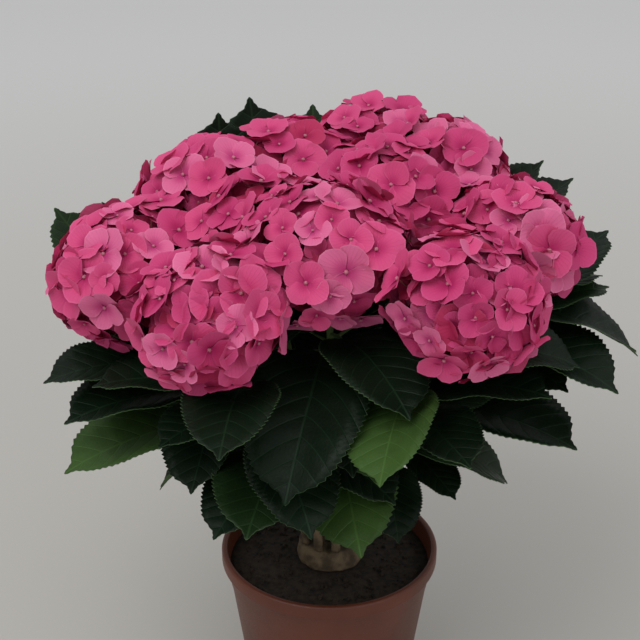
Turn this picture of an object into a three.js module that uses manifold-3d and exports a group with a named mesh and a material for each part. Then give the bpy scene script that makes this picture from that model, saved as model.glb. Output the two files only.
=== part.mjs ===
// A mophead hydrangea in its nursery pot: a filled pot, a woody root crown, one cane for each
// shoot, a leafy length on top of each cane, and a bloom on top of that.
// Millimetres, +Z up, origin on the floor under the middle of the pot.

import * as THREE from 'three';
import { mergeVertices } from 'three/addons/utils/BufferGeometryUtils.js';
import Module from 'manifold-3d';

// Pot and what fills it
const POT_HEIGHT = 190;
const POT_FOOT_RADIUS = 86;
const POT_TOP_RADIUS = 112;
const POT_WALL = 2.2;
const POT_FLOOR = 3;
const RIM_HEIGHT = 15;
const RIM_LIP = 4;
const DRAIN_HOLES = 8;
const DRAIN_RADIUS = 6;
const DRAIN_RING = 62;
const SOIL_BELOW_RIM = 18;
const SOIL_MOUND = 5;
const POT_SEGMENTS = 36;

// Woody parts
const CROWN_RADIUS = 38;
const CROWN_HEIGHT = 20;
const CROWN_SEGMENTS = 18;
const OUTER_FEET = 27;
const INNER_FEET = 12;
const INNER_REACH = 140;
const FOOT_THICKNESS = 5.4;
const NECK_THICKNESS = 3;
const LIMB_SIDES = 6;
const LIMB_STEP = 50;
const CANE_SHARE = 0.34;
const FOOT_STRAIGHT = 0.22;
const NECK_STRAIGHT = 0.4;

// Leaves
const OUTER_PAIRS = 5;
const INNER_PAIRS = 4;
const LEAF_LENGTH = 152;
const INWARD_LENGTH = 112;
const LEAF_SLENDERNESS = 0.33;
const PETIOLE = 26;
const PETIOLE_THICKNESS = 2;
const BLADE_THICKNESS = 1.1;
const BLADE_FOLD = 0.28;
const BLADE_STATIONS = [0.17, 0.46, 0.8];
const FIRST_PAIR = 14;
const LAST_PAIR = 8;
const PAIR_TURN = 45;
const TURN_SPREAD = 80;
const ROLL_SPREAD = 30;
const LOW_RISE = 4;
const TOP_RISE = 44;
const LEAF_DROOP = 54;
const UPRIGHT_CURL = 1.6;
const LEAF_SWINGS = 9;
const LEAF_SWING = 10;
const LEAF_LIFTS = [0, 16, -16, 32];
const EFFORT_COST = 0.08;
const LEAD_MARGIN = 8;
const LEAF_CLEARANCE = 0.5;

// Blooms
const FLORETS = 25;
const FLORET_SIZE = 0.37;
const FLORET_NOTCH = 0.8;
const NOTCH_SINK = 0.14;
const FLORET_DISH = 0.18;
const FLORET_WOBBLE = 0.35;
const FLORET_COVER = 104;
const CORE_SIZE = 0.72;
const TAIL_DEPTH = 0.6;
const BLOOM_FLATTENING = 0.12;
const BLOOM_TILT = 0.16;
const STALK_START = 1.2;
const PRESSED_LEAST = 0.62;

// Chance and fit
const SEED = 28;
const SEAT_GAP = 0.3;
const NEIGHBOUR_GAP = 1;

// Each shoot ends in one bloom. Azimuth is in degrees from +X, reach is the distance from the
// pot's axis, height and radius are the bloom's. Leads are the shoot's foremost leaves: how far
// up the leafy stem each one starts, from 0 to 1, how many degrees it droops, or curls up where
// that is negative, and where its tip points.
const SHOOTS = [
  {
    name: 'left', azimuth: 200, reach: 207, height: 533, radius: 70,
    leads: [
      { start: 1, droop: -15, tip: [-269, 30, 564] },
      { start: 0.75, droop: 40, tip: [-269, -100, 436] },
      { start: 0.5, droop: 45, tip: [-247, -130, 410] },
      { start: 0.25, droop: 40, tip: [-254, -115, 347] },
    ],
  },
  {
    name: 'front_left', azimuth: 241, reach: 215, height: 544, radius: 65,
    leads: [
      { start: 0.5, droop: 50, tip: [-152, -190, 419] },
      { start: 0.1, droop: 50, tip: [-108, -190, 323] },
    ],
  },
  {
    name: 'centre', azimuth: 269, reach: 117, height: 574, radius: 70,
    leads: [
      { start: 0.9, droop: 60, tip: [-116, -200, 393] },
      { start: 0.95, droop: 50, tip: [89, -210, 466] },
      { start: 0.6, droop: 60, tip: [20, -200, 395] },
      { start: 0.3, droop: 50, tip: [40, -190, 382] },
      { start: 0.05, droop: 60, tip: [-22, -160, 310] },
    ],
  },
  {
    name: 'front_right', azimuth: 301, reach: 221, height: 560, radius: 69,
    leads: [
      { start: 0.5, droop: 40, tip: [96, -240, 424] },
      { start: 0.05, droop: 60, tip: [9, -170, 306] },
    ],
  },
  {
    name: 'right', azimuth: 347, reach: 183, height: 556, radius: 64,
    leads: [
      { start: 1, droop: 50, tip: [306, -20, 425] },
      { start: 1, droop: 40, tip: [287, 40, 478] },
      { start: 0.75, droop: 45, tip: [278, -100, 439] },
      { start: 0.2, droop: 45, tip: [230, -130, 382] },
      { start: 0, droop: 40, tip: [123, -100, 308] },
    ],
  },
  { name: 'mid_right', azimuth: 15, reach: 59, height: 578, radius: 54 },
  {
    name: 'upper_right', azimuth: 35, reach: 149, height: 575, radius: 60,
    leads: [{ start: 1, droop: -20, tip: [228, 160, 567] }],
  },
  { name: 'back_right', azimuth: 52, reach: 228, height: 524, radius: 63 },
  {
    name: 'top', azimuth: 72, reach: 158, height: 582, radius: 60,
    leads: [{ start: 1, droop: -50, tip: [-19, 220, 614] }],
  },
  { name: 'back', azimuth: 95, reach: 238, height: 504, radius: 62 },
  {
    name: 'upper_mid', azimuth: 114, reach: 94, height: 578, radius: 59,
    leads: [{ start: 1, droop: -80, tip: [-87, 197, 628] }],
  },
  { name: 'back_left', azimuth: 136, reach: 216, height: 508, radius: 63 },
  {
    name: 'upper_left', azimuth: 166, reach: 122, height: 575, radius: 66,
    leads: [{ start: 1, droop: -56, tip: [-230, 63, 557] }],
  },
  { name: 'mid_left', azimuth: 215, reach: 78, height: 562, radius: 56 },
];

const WIDEST_REACH = Math.max(...SHOOTS.map((shoot) => shoot.reach));

const wasm = await Module();
wasm.setup();

const UP = new THREE.Vector3(0, 0, 1);
const radians = THREE.MathUtils.degToRad;
const degrees = THREE.MathUtils.radToDeg;
const mix = THREE.MathUtils.lerp;

// --- Small tools ---------------------------------------------------------------------------

// A repeatable number from 0 to 1 for three keys.
function chance(a, b, c) {
  const wave = Math.sin(a * 12.9898 + b * 78.233 + c * 37.719 + SEED) * 43758.5453;
  return wave - Math.floor(wave);
}

function heading(azimuth) {
  return new THREE.Vector3(Math.cos(radians(azimuth)), Math.sin(radians(azimuth)), 0);
}

// A closed skin over rings of points, drawn to a point at either end. The rings turn
// anticlockwise seen from the end point.
function loft(start, rings, end) {
  const count = rings[0].length;
  const points = [start, ...rings.flat(), end];
  const last = points.length - 1;
  const at = (ring, side) => 1 + ring * count + (side % count);
  const faces = [];
  for (let side = 0; side < count; side += 1) {
    faces.push(0, at(0, side + 1), at(0, side));
    faces.push(at(rings.length - 1, side), at(rings.length - 1, side + 1), last);
    for (let ring = 0; ring + 1 < rings.length; ring += 1) {
      faces.push(at(ring, side), at(ring, side + 1), at(ring + 1, side + 1));
      faces.push(at(ring, side), at(ring + 1, side + 1), at(ring + 1, side));
    }
  }
  return new THREE.BufferGeometry().setFromPoints(points).setIndex(faces);
}

// A closed geometry as a solid that can be joined and cut.
function solid(geometry) {
  geometry.deleteAttribute('normal');
  geometry.deleteAttribute('uv');
  const merged = mergeVertices(geometry, 1e-3);
  const index = merged.getIndex().array;
  const faces = [];
  for (let i = 0; i < index.length; i += 3) {
    const [a, b, c] = index.slice(i, i + 3);
    if (a !== b && b !== c && c !== a) faces.push(a, b, c);
  }
  return new wasm.Manifold(new wasm.Mesh({
    numProp: 3,
    vertProperties: new Float32Array(merged.getAttribute('position').array),
    triVerts: new Uint32Array(faces),
  }));
}

function toGeometry(body) {
  const { vertProperties, triVerts } = body.getMesh();
  const geometry = new THREE.BufferGeometry();
  geometry.setAttribute('position', new THREE.BufferAttribute(vertProperties, 3));
  geometry.setIndex(new THREE.BufferAttribute(triVerts, 1));
  geometry.computeVertexNormals();
  return geometry;
}

function meets(a, b) {
  const one = a.boundingBox();
  const two = b.boundingBox();
  const apart = [0, 1, 2].some((axis) => one.max[axis] < two.min[axis] || two.max[axis] < one.min[axis]);
  return !apart && !a.intersect(b).isEmpty();
}

// --- Materials -----------------------------------------------------------------------------

const paint = (color, roughness) => new THREE.MeshStandardMaterial({
  color, roughness, metalness: 0, flatShading: true,
});

const MATERIALS = {
  pot: paint(0x7a3420, 0.55),
  soil: paint(0x2a1d14, 0.95),
  wood: paint(0x6b5a3c, 0.8),
  leaf: paint(0x22371a, 0.5),
  petal: paint(0xdc5a92, 0.6),
};

const plant = new THREE.Group();

function add(name, body, material) {
  const mesh = new THREE.Mesh(toGeometry(body), material);
  mesh.name = name;
  plant.add(mesh);
}

// --- Pot, soil and root crown --------------------------------------------------------------

function lathe(profile, segments = POT_SEGMENTS) {
  const outline = profile.map(([radius, height]) => new THREE.Vector2(radius, height));
  return solid(new THREE.LatheGeometry(outline, segments).rotateX(Math.PI / 2));
}

function potRadiusAt(height) {
  return mix(POT_FOOT_RADIUS, POT_TOP_RADIUS, height / POT_HEIGHT);
}

function buildPot() {
  const rimFoot = POT_HEIGHT - RIM_HEIGHT;
  const inside = (height) => potRadiusAt(height) - POT_WALL;
  let pot = lathe([
    [0, 0],
    [POT_FOOT_RADIUS, 0],
    [potRadiusAt(rimFoot), rimFoot],
    [POT_TOP_RADIUS + RIM_LIP - 1, rimFoot],
    [POT_TOP_RADIUS + RIM_LIP, rimFoot + 2],
    [POT_TOP_RADIUS + RIM_LIP, POT_HEIGHT - 2],
    [POT_TOP_RADIUS + RIM_LIP - 2, POT_HEIGHT],
    [inside(POT_HEIGHT), POT_HEIGHT],
    [inside(POT_FLOOR), POT_FLOOR],
    [0, POT_FLOOR],
  ]);
  for (let hole = 0; hole < DRAIN_HOLES; hole += 1) {
    const place = heading((hole + 0.5) * 360 / DRAIN_HOLES).multiplyScalar(DRAIN_RING);
    const drill = new THREE.CylinderGeometry(DRAIN_RADIUS, DRAIN_RADIUS, POT_FLOOR * 4, 12);
    pot = pot.subtract(solid(drill.rotateX(Math.PI / 2).translate(place.x, place.y, 0)));
  }
  return pot;
}

const soilEdge = POT_HEIGHT - SOIL_BELOW_RIM;
const soilTop = soilEdge + SOIL_MOUND;

function buildSoil() {
  const inside = (height) => potRadiusAt(height) - POT_WALL - SEAT_GAP * 1.5;
  const floor = POT_FLOOR + SEAT_GAP;
  return lathe([
    [0, floor],
    [inside(floor), floor],
    [inside(soilEdge), soilEdge],
    [mix(CROWN_RADIUS, inside(soilEdge), 0.6), mix(soilEdge, soilTop, 0.7)],
    [CROWN_RADIUS * 1.15, soilTop],
    [0, soilTop],
  ]);
}

const crownFoot = soilTop + SEAT_GAP;
const crownTop = crownFoot + CROWN_HEIGHT;

function buildRootCrown() {
  return lathe([
    [0, crownFoot],
    [CROWN_RADIUS, crownFoot],
    [CROWN_RADIUS, mix(crownFoot, crownTop, 0.35)],
    [CROWN_RADIUS * 0.96, mix(crownFoot, crownTop, 0.75)],
    [CROWN_RADIUS * 0.88, crownTop],
    [0, crownTop],
  ], CROWN_SEGMENTS);
}

// --- Shoots --------------------------------------------------------------------------------

// The feet of one ring of canes stand evenly round the root crown, in the order of the shoots
// that they carry, so that the canes don't cross.
function placeFeet(shoots, radius) {
  const ring = [...shoots].sort((a, b) => a.azimuth - b.azimuth);
  const lag = (shoot, rank) => shoot.azimuth - rank * 360 / ring.length;
  const start = ring.reduce((sum, shoot, rank) => sum + lag(shoot, rank), 0) / ring.length;
  ring.forEach((shoot, rank) => {
    shoot.foot = heading(start + rank * 360 / ring.length).multiplyScalar(radius);
    shoot.foot.z = crownTop + SEAT_GAP;
  });
}

function layOutShoot(shoot, number) {
  const outward = heading(shoot.azimuth);
  const tilt = radians(shoot.reach * BLOOM_TILT);
  const rise = shoot.height - shoot.foot.z;
  shoot.number = number;
  shoot.pairs = shoot.reach < INNER_REACH ? INNER_PAIRS : OUTER_PAIRS;
  shoot.middle = outward.clone().multiplyScalar(shoot.reach).setZ(shoot.height);
  shoot.axis = outward.clone().multiplyScalar(Math.sin(tilt)).setZ(Math.cos(tilt));
  shoot.line = new THREE.CubicBezierCurve3(
    shoot.foot,
    UP.clone().multiplyScalar(rise * FOOT_STRAIGHT).add(shoot.foot),
    shoot.axis.clone().multiplyScalar(-rise * NECK_STRAIGHT).add(shoot.middle),
    shoot.middle,
  );
  shoot.length = shoot.line.getLength();
  shoot.caneEnd = shoot.length * CANE_SHARE;
  shoot.stemEnd = shoot.length - shoot.radius * STALK_START;
}

placeFeet(SHOOTS.filter((shoot) => shoot.reach >= INNER_REACH), OUTER_FEET);
placeFeet(SHOOTS.filter((shoot) => shoot.reach < INNER_REACH), INNER_FEET);
SHOOTS.forEach(layOutShoot);

// A tapering length of a shoot, between two distances along it, with flat ends.
function limb(shoot, from, to) {
  const steps = Math.max(2, Math.round((to - from) / LIMB_STEP));
  const rings = [];
  for (let step = 0; step <= steps; step += 1) {
    const along = mix(from, to, step / steps) / shoot.length;
    const centre = shoot.line.getPointAt(along);
    const tangent = shoot.line.getTangentAt(along);
    const side = new THREE.Vector3().crossVectors(tangent, heading(shoot.azimuth)).normalize();
    const thickness = mix(FOOT_THICKNESS, NECK_THICKNESS, along);
    const ring = [];
    for (let corner = 0; corner < LIMB_SIDES; corner += 1) {
      const spoke = side.clone().applyAxisAngle(tangent, corner * 2 * Math.PI / LIMB_SIDES);
      ring.push(spoke.multiplyScalar(thickness).add(centre));
    }
    rings.push(ring);
  }
  const centreOf = (along) => shoot.line.getPointAt(along / shoot.length);
  return solid(loft(centreOf(from), rings, centreOf(to)));
}

// --- Blooms --------------------------------------------------------------------------------

// How far out a floret can stand in a bloom that its neighbours press on. Each neighbour's
// side is a flat plane across the line between the two middles.
function roomFor(shoot, direction, facing, size) {
  let room = shoot.radius * (1 - BLOOM_FLATTENING * direction.dot(shoot.axis) ** 2);
  for (const other of SHOOTS) {
    if (other === shoot) continue;
    const toward = other.middle.clone().sub(shoot.middle);
    const border = toward.length() * shoot.radius / (shoot.radius + other.radius) - NEIGHBOUR_GAP;
    toward.normalize();
    const spread = size * Math.sqrt(1 - Math.min(1, facing.dot(toward) ** 2));
    const slope = direction.dot(toward);
    if (slope > 0.05) room = Math.min(room, (border - spread) / slope);
  }
  return room;
}

// A floret is a shallow funnel of four cupped lobes, its tail sunk in the bloom's core. The
// notches between the lobes lie lower than their tips.
function floret(shoot, direction, size, key) {
  const wobble = new THREE.Vector3(
    chance(shoot.number, key, 1) - 0.5,
    chance(shoot.number, key, 2) - 0.5,
    chance(shoot.number, key, 3) - 0.5,
  );
  const facing = wobble.multiplyScalar(FLORET_WOBBLE).add(direction).normalize();
  const room = roomFor(shoot, direction, facing, size);
  if (room < shoot.radius * PRESSED_LEAST) return null;
  const centre = direction.clone().multiplyScalar(room).add(shoot.middle);
  const side = new THREE.Vector3().crossVectors(facing, UP).normalize();
  const spin = chance(shoot.number, key, 4) * Math.PI;
  const rimPoint = (turn, reach, sink) => side.clone().applyAxisAngle(facing, spin + turn)
    .multiplyScalar(size * reach).addScaledVector(facing, -size * sink).add(centre);
  const tail = direction.clone().multiplyScalar(shoot.radius * CORE_SIZE * TAIL_DEPTH).add(shoot.middle);
  const dish = facing.clone().multiplyScalar(-size * FLORET_DISH).add(centre);
  const points = [tail, dish];
  const faces = [];
  for (let lobe = 0; lobe < 4; lobe += 1) {
    points.push(rimPoint(lobe * Math.PI / 2, FLORET_NOTCH, NOTCH_SINK));
    points.push(rimPoint((lobe + 0.5) * Math.PI / 2, 1, 0));
    const notch = 2 + lobe * 2;
    const tip = notch + 1;
    const next = 2 + ((lobe + 1) % 4) * 2;
    faces.push(1, notch, tip, 1, tip, next, notch, next, tip, 0, next, notch);
  }
  return solid(new THREE.BufferGeometry().setFromPoints(points).setIndex(faces));
}

function buildBloom(shoot) {
  const coreRadius = shoot.radius * CORE_SIZE;
  const core = new THREE.IcosahedronGeometry(coreRadius, 0);
  const turn = new THREE.Quaternion().setFromUnitVectors(UP, shoot.axis);
  core.scale(1, 1, 1 - BLOOM_FLATTENING);
  core.applyQuaternion(turn).translate(...shoot.middle);
  let bloom = solid(core);
  bloom = bloom.add(limb(shoot, shoot.stemEnd + SEAT_GAP, shoot.length - coreRadius * 0.5));
  const golden = Math.PI * (3 - Math.sqrt(5));
  for (let key = 0; key < FLORETS; key += 1) {
    const polar = Math.acos(1 - 2 * (key + 0.5) / FLORETS);
    if (polar > radians(FLORET_COVER)) break;
    const direction = new THREE.Vector3(
      Math.sin(polar) * Math.cos(key * golden),
      Math.sin(polar) * Math.sin(key * golden),
      Math.cos(polar),
    ).applyQuaternion(turn);
    const flower = floret(shoot, direction, shoot.radius * FLORET_SIZE, key);
    if (flower) bloom = bloom.add(flower);
  }
  return bloom;
}

// --- Leaves --------------------------------------------------------------------------------

// Half the blade's width at a share of its length: broad below the middle, drawn out at the tip.
function bladeWidth(share) {
  return Math.sin(Math.PI * share ** 0.8) ** 0.8 * (1.06 - 0.2 * share);
}

// One leaf: its stalk and blade bend down along an arc. Each station across it is a flat
// diamond, folded up at both edges.
function leaf(pose, swell = 0) {
  const total = PETIOLE + pose.length;
  const outward = heading(pose.azimuth);
  const across = new THREE.Vector3().crossVectors(outward, UP);
  const bend = radians(-pose.droop);
  const rise = radians(pose.rise);
  const point = (along) => {
    const half = bend * along / total / 2;
    const chord = along * (half === 0 ? 1 : Math.sin(half) / half);
    const reach = chord * Math.cos(rise + half);
    const climb = chord * Math.sin(rise + half);
    return outward.clone().multiplyScalar(reach).setZ(climb).add(pose.root);
  };
  const station = (along, halfWidth, halfThickness, fold) => {
    const angle = rise + bend * along / total;
    const normal = outward.clone().multiplyScalar(-Math.sin(angle)).setZ(Math.cos(angle));
    const forward = new THREE.Vector3().crossVectors(normal, across);
    normal.applyAxisAngle(forward, pose.roll);
    const side = across.clone().applyAxisAngle(forward, pose.roll);
    const centre = point(along);
    const lift = normal.clone().multiplyScalar(fold * halfWidth);
    return [
      normal.clone().multiplyScalar(halfThickness).add(centre),
      side.clone().multiplyScalar(halfWidth).add(lift).add(centre),
      normal.clone().multiplyScalar(-halfThickness).add(centre),
      side.clone().multiplyScalar(-halfWidth).add(lift).add(centre),
    ];
  };
  const stalk = PETIOLE_THICKNESS + swell;
  const blade = BLADE_STATIONS.map((share) => station(
    PETIOLE + share * pose.length,
    pose.length * LEAF_SLENDERNESS * bladeWidth(share) + swell,
    BLADE_THICKNESS + swell,
    BLADE_FOLD,
  ));
  const rings = [station(swell * 12, stalk, stalk, 0), station(PETIOLE, stalk, stalk, 0), ...blade];
  return solid(loft(point(swell * 12), rings, point(total + swell)));
}

// The turns that a leaf tries, one after the other: 0, -10, 10, -20 degrees and so on.
function swings() {
  const order = [...Array(LEAF_SWINGS).keys()];
  return order.map((rank) => LEAF_SWING * Math.ceil(rank / 2) * (rank % 2 === 0 ? 1 : -1));
}

// The ways that a leaf can stand: as it would like to, then swung aside, and then lifted or
// lowered and a little shorter.
function tries(wish) {
  return LEAF_LIFTS.flatMap((lift, effort) => swings().map((swing) => ({
    ...wish,
    azimuth: wish.azimuth + swing,
    rise: wish.rise + lift,
    length: wish.length * (1 - EFFORT_COST * effort),
  })));
}

// A foremost leaf: its arc ends at its tip.
function leadPoses(shoot, lead) {
  const along = mix(shoot.caneEnd + LEAD_MARGIN, shoot.stemEnd - LEAD_MARGIN, lead.start);
  const root = shoot.line.getPointAt(along / shoot.length);
  const span = new THREE.Vector3(...lead.tip).sub(root);
  const half = radians(lead.droop) / 2;
  return tries({
    root,
    azimuth: degrees(Math.atan2(span.y, span.x)),
    rise: degrees(Math.asin(span.z / span.length())) + lead.droop / 2,
    droop: lead.droop,
    roll: 0,
    length: span.length() * half / Math.sin(half) - PETIOLE,
  });
}

// The leaf at one side of a pair.
function pairPoses(shoot, pair, side) {
  const share = (pair + 0.5) / shoot.pairs;
  const slack = LEAF_DROOP * (1 - UPRIGHT_CURL * share * (1 - shoot.reach / WIDEST_REACH));
  const along = mix(shoot.caneEnd + FIRST_PAIR, shoot.stemEnd - LAST_PAIR, share);
  const spread = TURN_SPREAD * (chance(shoot.number, pair, 5) - 0.5);
  const turn = PAIR_TURN + 90 * pair + 180 * side + spread;
  const facingOut = 0.5 + 0.5 * Math.cos(radians(turn));
  const vigour = mix(0.88, 1.08, chance(shoot.number, pair, 6 + side));
  return tries({
    root: shoot.line.getPointAt(along / shoot.length),
    azimuth: shoot.azimuth + turn,
    rise: mix(LOW_RISE, TOP_RISE, share),
    droop: slack * mix(0.8, 1.15, chance(shoot.number, pair, 8 + side)),
    roll: radians(ROLL_SPREAD) * (chance(shoot.number, pair, 10 + side) - 0.5),
    length: mix(INWARD_LENGTH, LEAF_LENGTH, facingOut) * vigour,
  });
}

// --- Assembly ------------------------------------------------------------------------------

add('pot', buildPot(), MATERIALS.pot);
add('soil', buildSoil(), MATERIALS.soil);
add('root_crown', buildRootCrown(), MATERIALS.wood);

const canes = SHOOTS.map((shoot) => limb(shoot, 0, shoot.caneEnd));
const stems = SHOOTS.map((shoot) => limb(shoot, shoot.caneEnd + SEAT_GAP, shoot.stemEnd));
const blooms = SHOOTS.map(buildBloom);
const taken = [buildPot(), buildSoil(), buildRootCrown(), ...canes, ...blooms];
const masses = [...stems];

// Puts on a leaf in the first of its poses that keeps clear of everything but its own stem.
function grow(own, poses) {
  const others = [...taken, ...stems.filter((stem) => stem !== stems[own])];
  const free = poses.find((pose) => {
    const space = leaf(pose, LEAF_CLEARANCE);
    return !others.some((body) => meets(space, body));
  });
  if (!free) return;
  const blade = leaf(free);
  taken.push(blade);
  masses[own] = masses[own].add(blade);
}

SHOOTS.forEach((shoot, own) => {
  (shoot.leads ?? []).forEach((lead) => grow(own, leadPoses(shoot, lead)));
});

for (let pair = OUTER_PAIRS - 1; pair >= 0; pair -= 1) {
  SHOOTS.forEach((shoot, own) => {
    if (pair >= shoot.pairs) return;
    grow(own, pairPoses(shoot, pair, 0));
    grow(own, pairPoses(shoot, pair, 1));
  });
}

SHOOTS.forEach((shoot, own) => {
  add(`cane_${shoot.name}`, canes[own], MATERIALS.wood);
  add(`leaves_${shoot.name}`, masses[own], MATERIALS.leaf);
  add(`bloom_${shoot.name}`, blooms[own], MATERIALS.petal);
});

export default plant;
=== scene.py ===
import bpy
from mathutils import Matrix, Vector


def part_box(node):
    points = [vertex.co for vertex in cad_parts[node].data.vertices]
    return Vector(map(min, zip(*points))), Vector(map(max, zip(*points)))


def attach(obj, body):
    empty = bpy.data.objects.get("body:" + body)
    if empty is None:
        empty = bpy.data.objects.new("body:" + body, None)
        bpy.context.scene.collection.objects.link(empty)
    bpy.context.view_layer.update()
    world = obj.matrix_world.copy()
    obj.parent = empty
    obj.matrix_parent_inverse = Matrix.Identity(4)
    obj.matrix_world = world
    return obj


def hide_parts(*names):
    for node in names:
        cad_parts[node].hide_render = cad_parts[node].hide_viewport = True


bl_info = {
    "name": "Potted mophead hydrangea",
    "version": (1, 0, 0),
    "blender": (4, 5, 0),
    "location": "View3D > Sidebar > Hydrangea",
    "description": "A mophead hydrangea shrub in a nursery pot, grown over its packed solids",
    "category": "Object",
}

import math

import bmesh
import bpy
import numpy as np
from bpy.props import FloatProperty, FloatVectorProperty, IntProperty, PointerProperty
from mathutils import Matrix, Vector, noise
from mathutils.bvhtree import BVHTree

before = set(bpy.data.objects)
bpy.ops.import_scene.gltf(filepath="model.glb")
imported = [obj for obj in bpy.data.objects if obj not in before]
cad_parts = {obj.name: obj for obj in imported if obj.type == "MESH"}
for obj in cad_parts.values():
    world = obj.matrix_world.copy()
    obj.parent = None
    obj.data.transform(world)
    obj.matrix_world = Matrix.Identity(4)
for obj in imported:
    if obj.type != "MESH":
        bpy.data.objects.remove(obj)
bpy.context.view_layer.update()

UP = np.array([0.0, 0.0, 1.0])
MM = 0.001
POT_LOW, POT_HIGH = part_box("pot")
SOIL_LOW, SOIL_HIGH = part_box("soil")
CROWN_LOW, CROWN_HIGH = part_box("root_crown")

# Each shoot carries one bloom. Azimuth is in degrees from +X, the rest is in metres: the bloom's
# distance from the pot's axis, its height and its radius. Leads are its foremost leaves: how far up
# the leafy stem each one starts, how many degrees it droops, where its tip points, and its tone
# where that isn't dark. Tones are those of single leaves, by their pair and side, and rolls are
# the degrees that a leaf turns about its own midrib to pass under its neighbour.
SHOOTS = [
    {"name": "left", "azimuth": 200, "reach": 0.207, "height": 0.533, "radius": 0.070, "leads": [
        (1, -15, (-0.269, 0.030, 0.564), "light"),
        (0.75, 40, (-0.269, -0.100, 0.436)),
        (0.5, 45, (-0.247, -0.130, 0.410)),
        (0.25, 40, (-0.254, -0.115, 0.347), "light"),
    ]},
    {"name": "front_left", "azimuth": 241, "reach": 0.215, "height": 0.544, "radius": 0.065,
     "tones": {(4, 0): "dark"}, "leads": [
        (0.5, 50, (-0.152, -0.190, 0.419)),
        (0.1, 50, (-0.108, -0.190, 0.323)),
    ]},
    {"name": "centre", "azimuth": 269, "reach": 0.117, "height": 0.574, "radius": 0.070, "leads": [
        (0.9, 60, (-0.116, -0.200, 0.393)),
        (0.95, 50, (0.089, -0.210, 0.466)),
        (0.6, 60, (0.020, -0.200, 0.395)),
        (0.3, 50, (0.040, -0.190, 0.382), "light"),
        (0.05, 60, (-0.022, -0.160, 0.310)),
    ]},
    {"name": "front_right", "azimuth": 301, "reach": 0.221, "height": 0.560, "radius": 0.069,
     "tones": {(3, 0): "light"}, "rolls": {(3, 0): 12}, "leads": [
        (0.5, 40, (0.096, -0.240, 0.424)),
        (0.05, 60, (0.009, -0.170, 0.306)),
    ]},
    {"name": "right", "azimuth": 347, "reach": 0.183, "height": 0.556, "radius": 0.064, "leads": [
        (1, 50, (0.306, -0.020, 0.425)),
        (1, 40, (0.287, 0.040, 0.478)),
        (0.75, 45, (0.278, -0.100, 0.439)),
        (0.2, 45, (0.230, -0.130, 0.382)),
        (0, 40, (0.123, -0.100, 0.308)),
    ]},
    {"name": "mid_right", "azimuth": 15, "reach": 0.059, "height": 0.578, "radius": 0.054},
    {"name": "upper_right", "azimuth": 35, "reach": 0.149, "height": 0.575, "radius": 0.060, "leads": [
        (1, -20, (0.228, 0.160, 0.567)),
    ]},
    {"name": "back_right", "azimuth": 52, "reach": 0.228, "height": 0.524, "radius": 0.063},
    {"name": "top", "azimuth": 72, "reach": 0.158, "height": 0.582, "radius": 0.060, "leads": [
        (1, -50, (-0.019, 0.220, 0.614)),
    ]},
    {"name": "back", "azimuth": 95, "reach": 0.238, "height": 0.504, "radius": 0.062},
    {"name": "upper_mid", "azimuth": 114, "reach": 0.094, "height": 0.578, "radius": 0.059, "leads": [
        (1, -80, (-0.087, 0.197, 0.628)),
    ]},
    {"name": "back_left", "azimuth": 136, "reach": 0.216, "height": 0.508, "radius": 0.063},
    {"name": "upper_left", "azimuth": 166, "reach": 0.122, "height": 0.575, "radius": 0.066, "leads": [
        (1, -56, (-0.230, 0.063, 0.557)),
    ]},
    {"name": "mid_left", "azimuth": 215, "reach": 0.078, "height": 0.562, "radius": 0.056},
]

# The rule that the shoots grow by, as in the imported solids
SEED = 28
SEAT_GAP = 0.3 * MM
OUTER_FEET = 27 * MM
INNER_FEET = 12 * MM
INNER_REACH = 140 * MM
CANE_SHARE = 0.34
FOOT_STRAIGHT = 0.22
NECK_STRAIGHT = 0.4
OUTER_PAIRS = 5
INNER_PAIRS = 4
FIRST_PAIR = 14 * MM
LAST_PAIR = 8 * MM
PAIR_TURN = 45
TURN_SPREAD = 80
ROLL_SPREAD = 30
LOW_RISE = 4
TOP_RISE = 44
LEAF_DROOP = 54
UPRIGHT_CURL = 1.6
LEAF_SWINGS = 9
LEAF_SWING = 10
LEAF_LIFTS = (0, 16, -16, 32)
EFFORT_COST = 0.08
LEAD_MARGIN = 8 * MM
BLOOM_TILT = 160
STALK_START = 1.2
WIDEST_REACH = max(shoot["reach"] for shoot in SHOOTS)
TIP_MATCH = 0.4 * MM
GOLDEN = math.pi * (3 - math.sqrt(5))


# --- Settings ------------------------------------------------------------------------------


def length_property(name, description, default):
    return FloatProperty(name=name, description=description, default=default, min=0.0, unit="LENGTH")


def share_property(name, description, default):
    return FloatProperty(
        name=name, description=description, default=default, min=0.0, max=2.0, subtype="FACTOR"
    )


def colour_property(name, description, default):
    return FloatVectorProperty(
        name=name, description=description, default=default, size=3, min=0.0, max=1.0, subtype="COLOR"
    )


class PotSettings(bpy.types.PropertyGroup):
    height: length_property("Height", "Height of the pot", POT_HIGH.z)
    rim_radius: length_property("Rim radius", "Radius of the pot at the outside of its rim", POT_HIGH.x)
    top_radius: length_property("Top radius", "Radius of the pot's wall at the top", 0.112)
    foot_radius: length_property("Foot radius", "Radius of the pot at its foot", 0.086)
    wall: length_property("Wall", "Thickness of the pot's wall", 0.0022)
    rim_height: length_property("Rim height", "Height of the band round the rim", 0.015)
    colour: colour_property("Colour", "Colour of the moulded pot", (0.120, 0.026, 0.010))
    soil_colour: colour_property("Soil colour", "Colour of the damp potting soil", (0.020, 0.012, 0.007))


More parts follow.
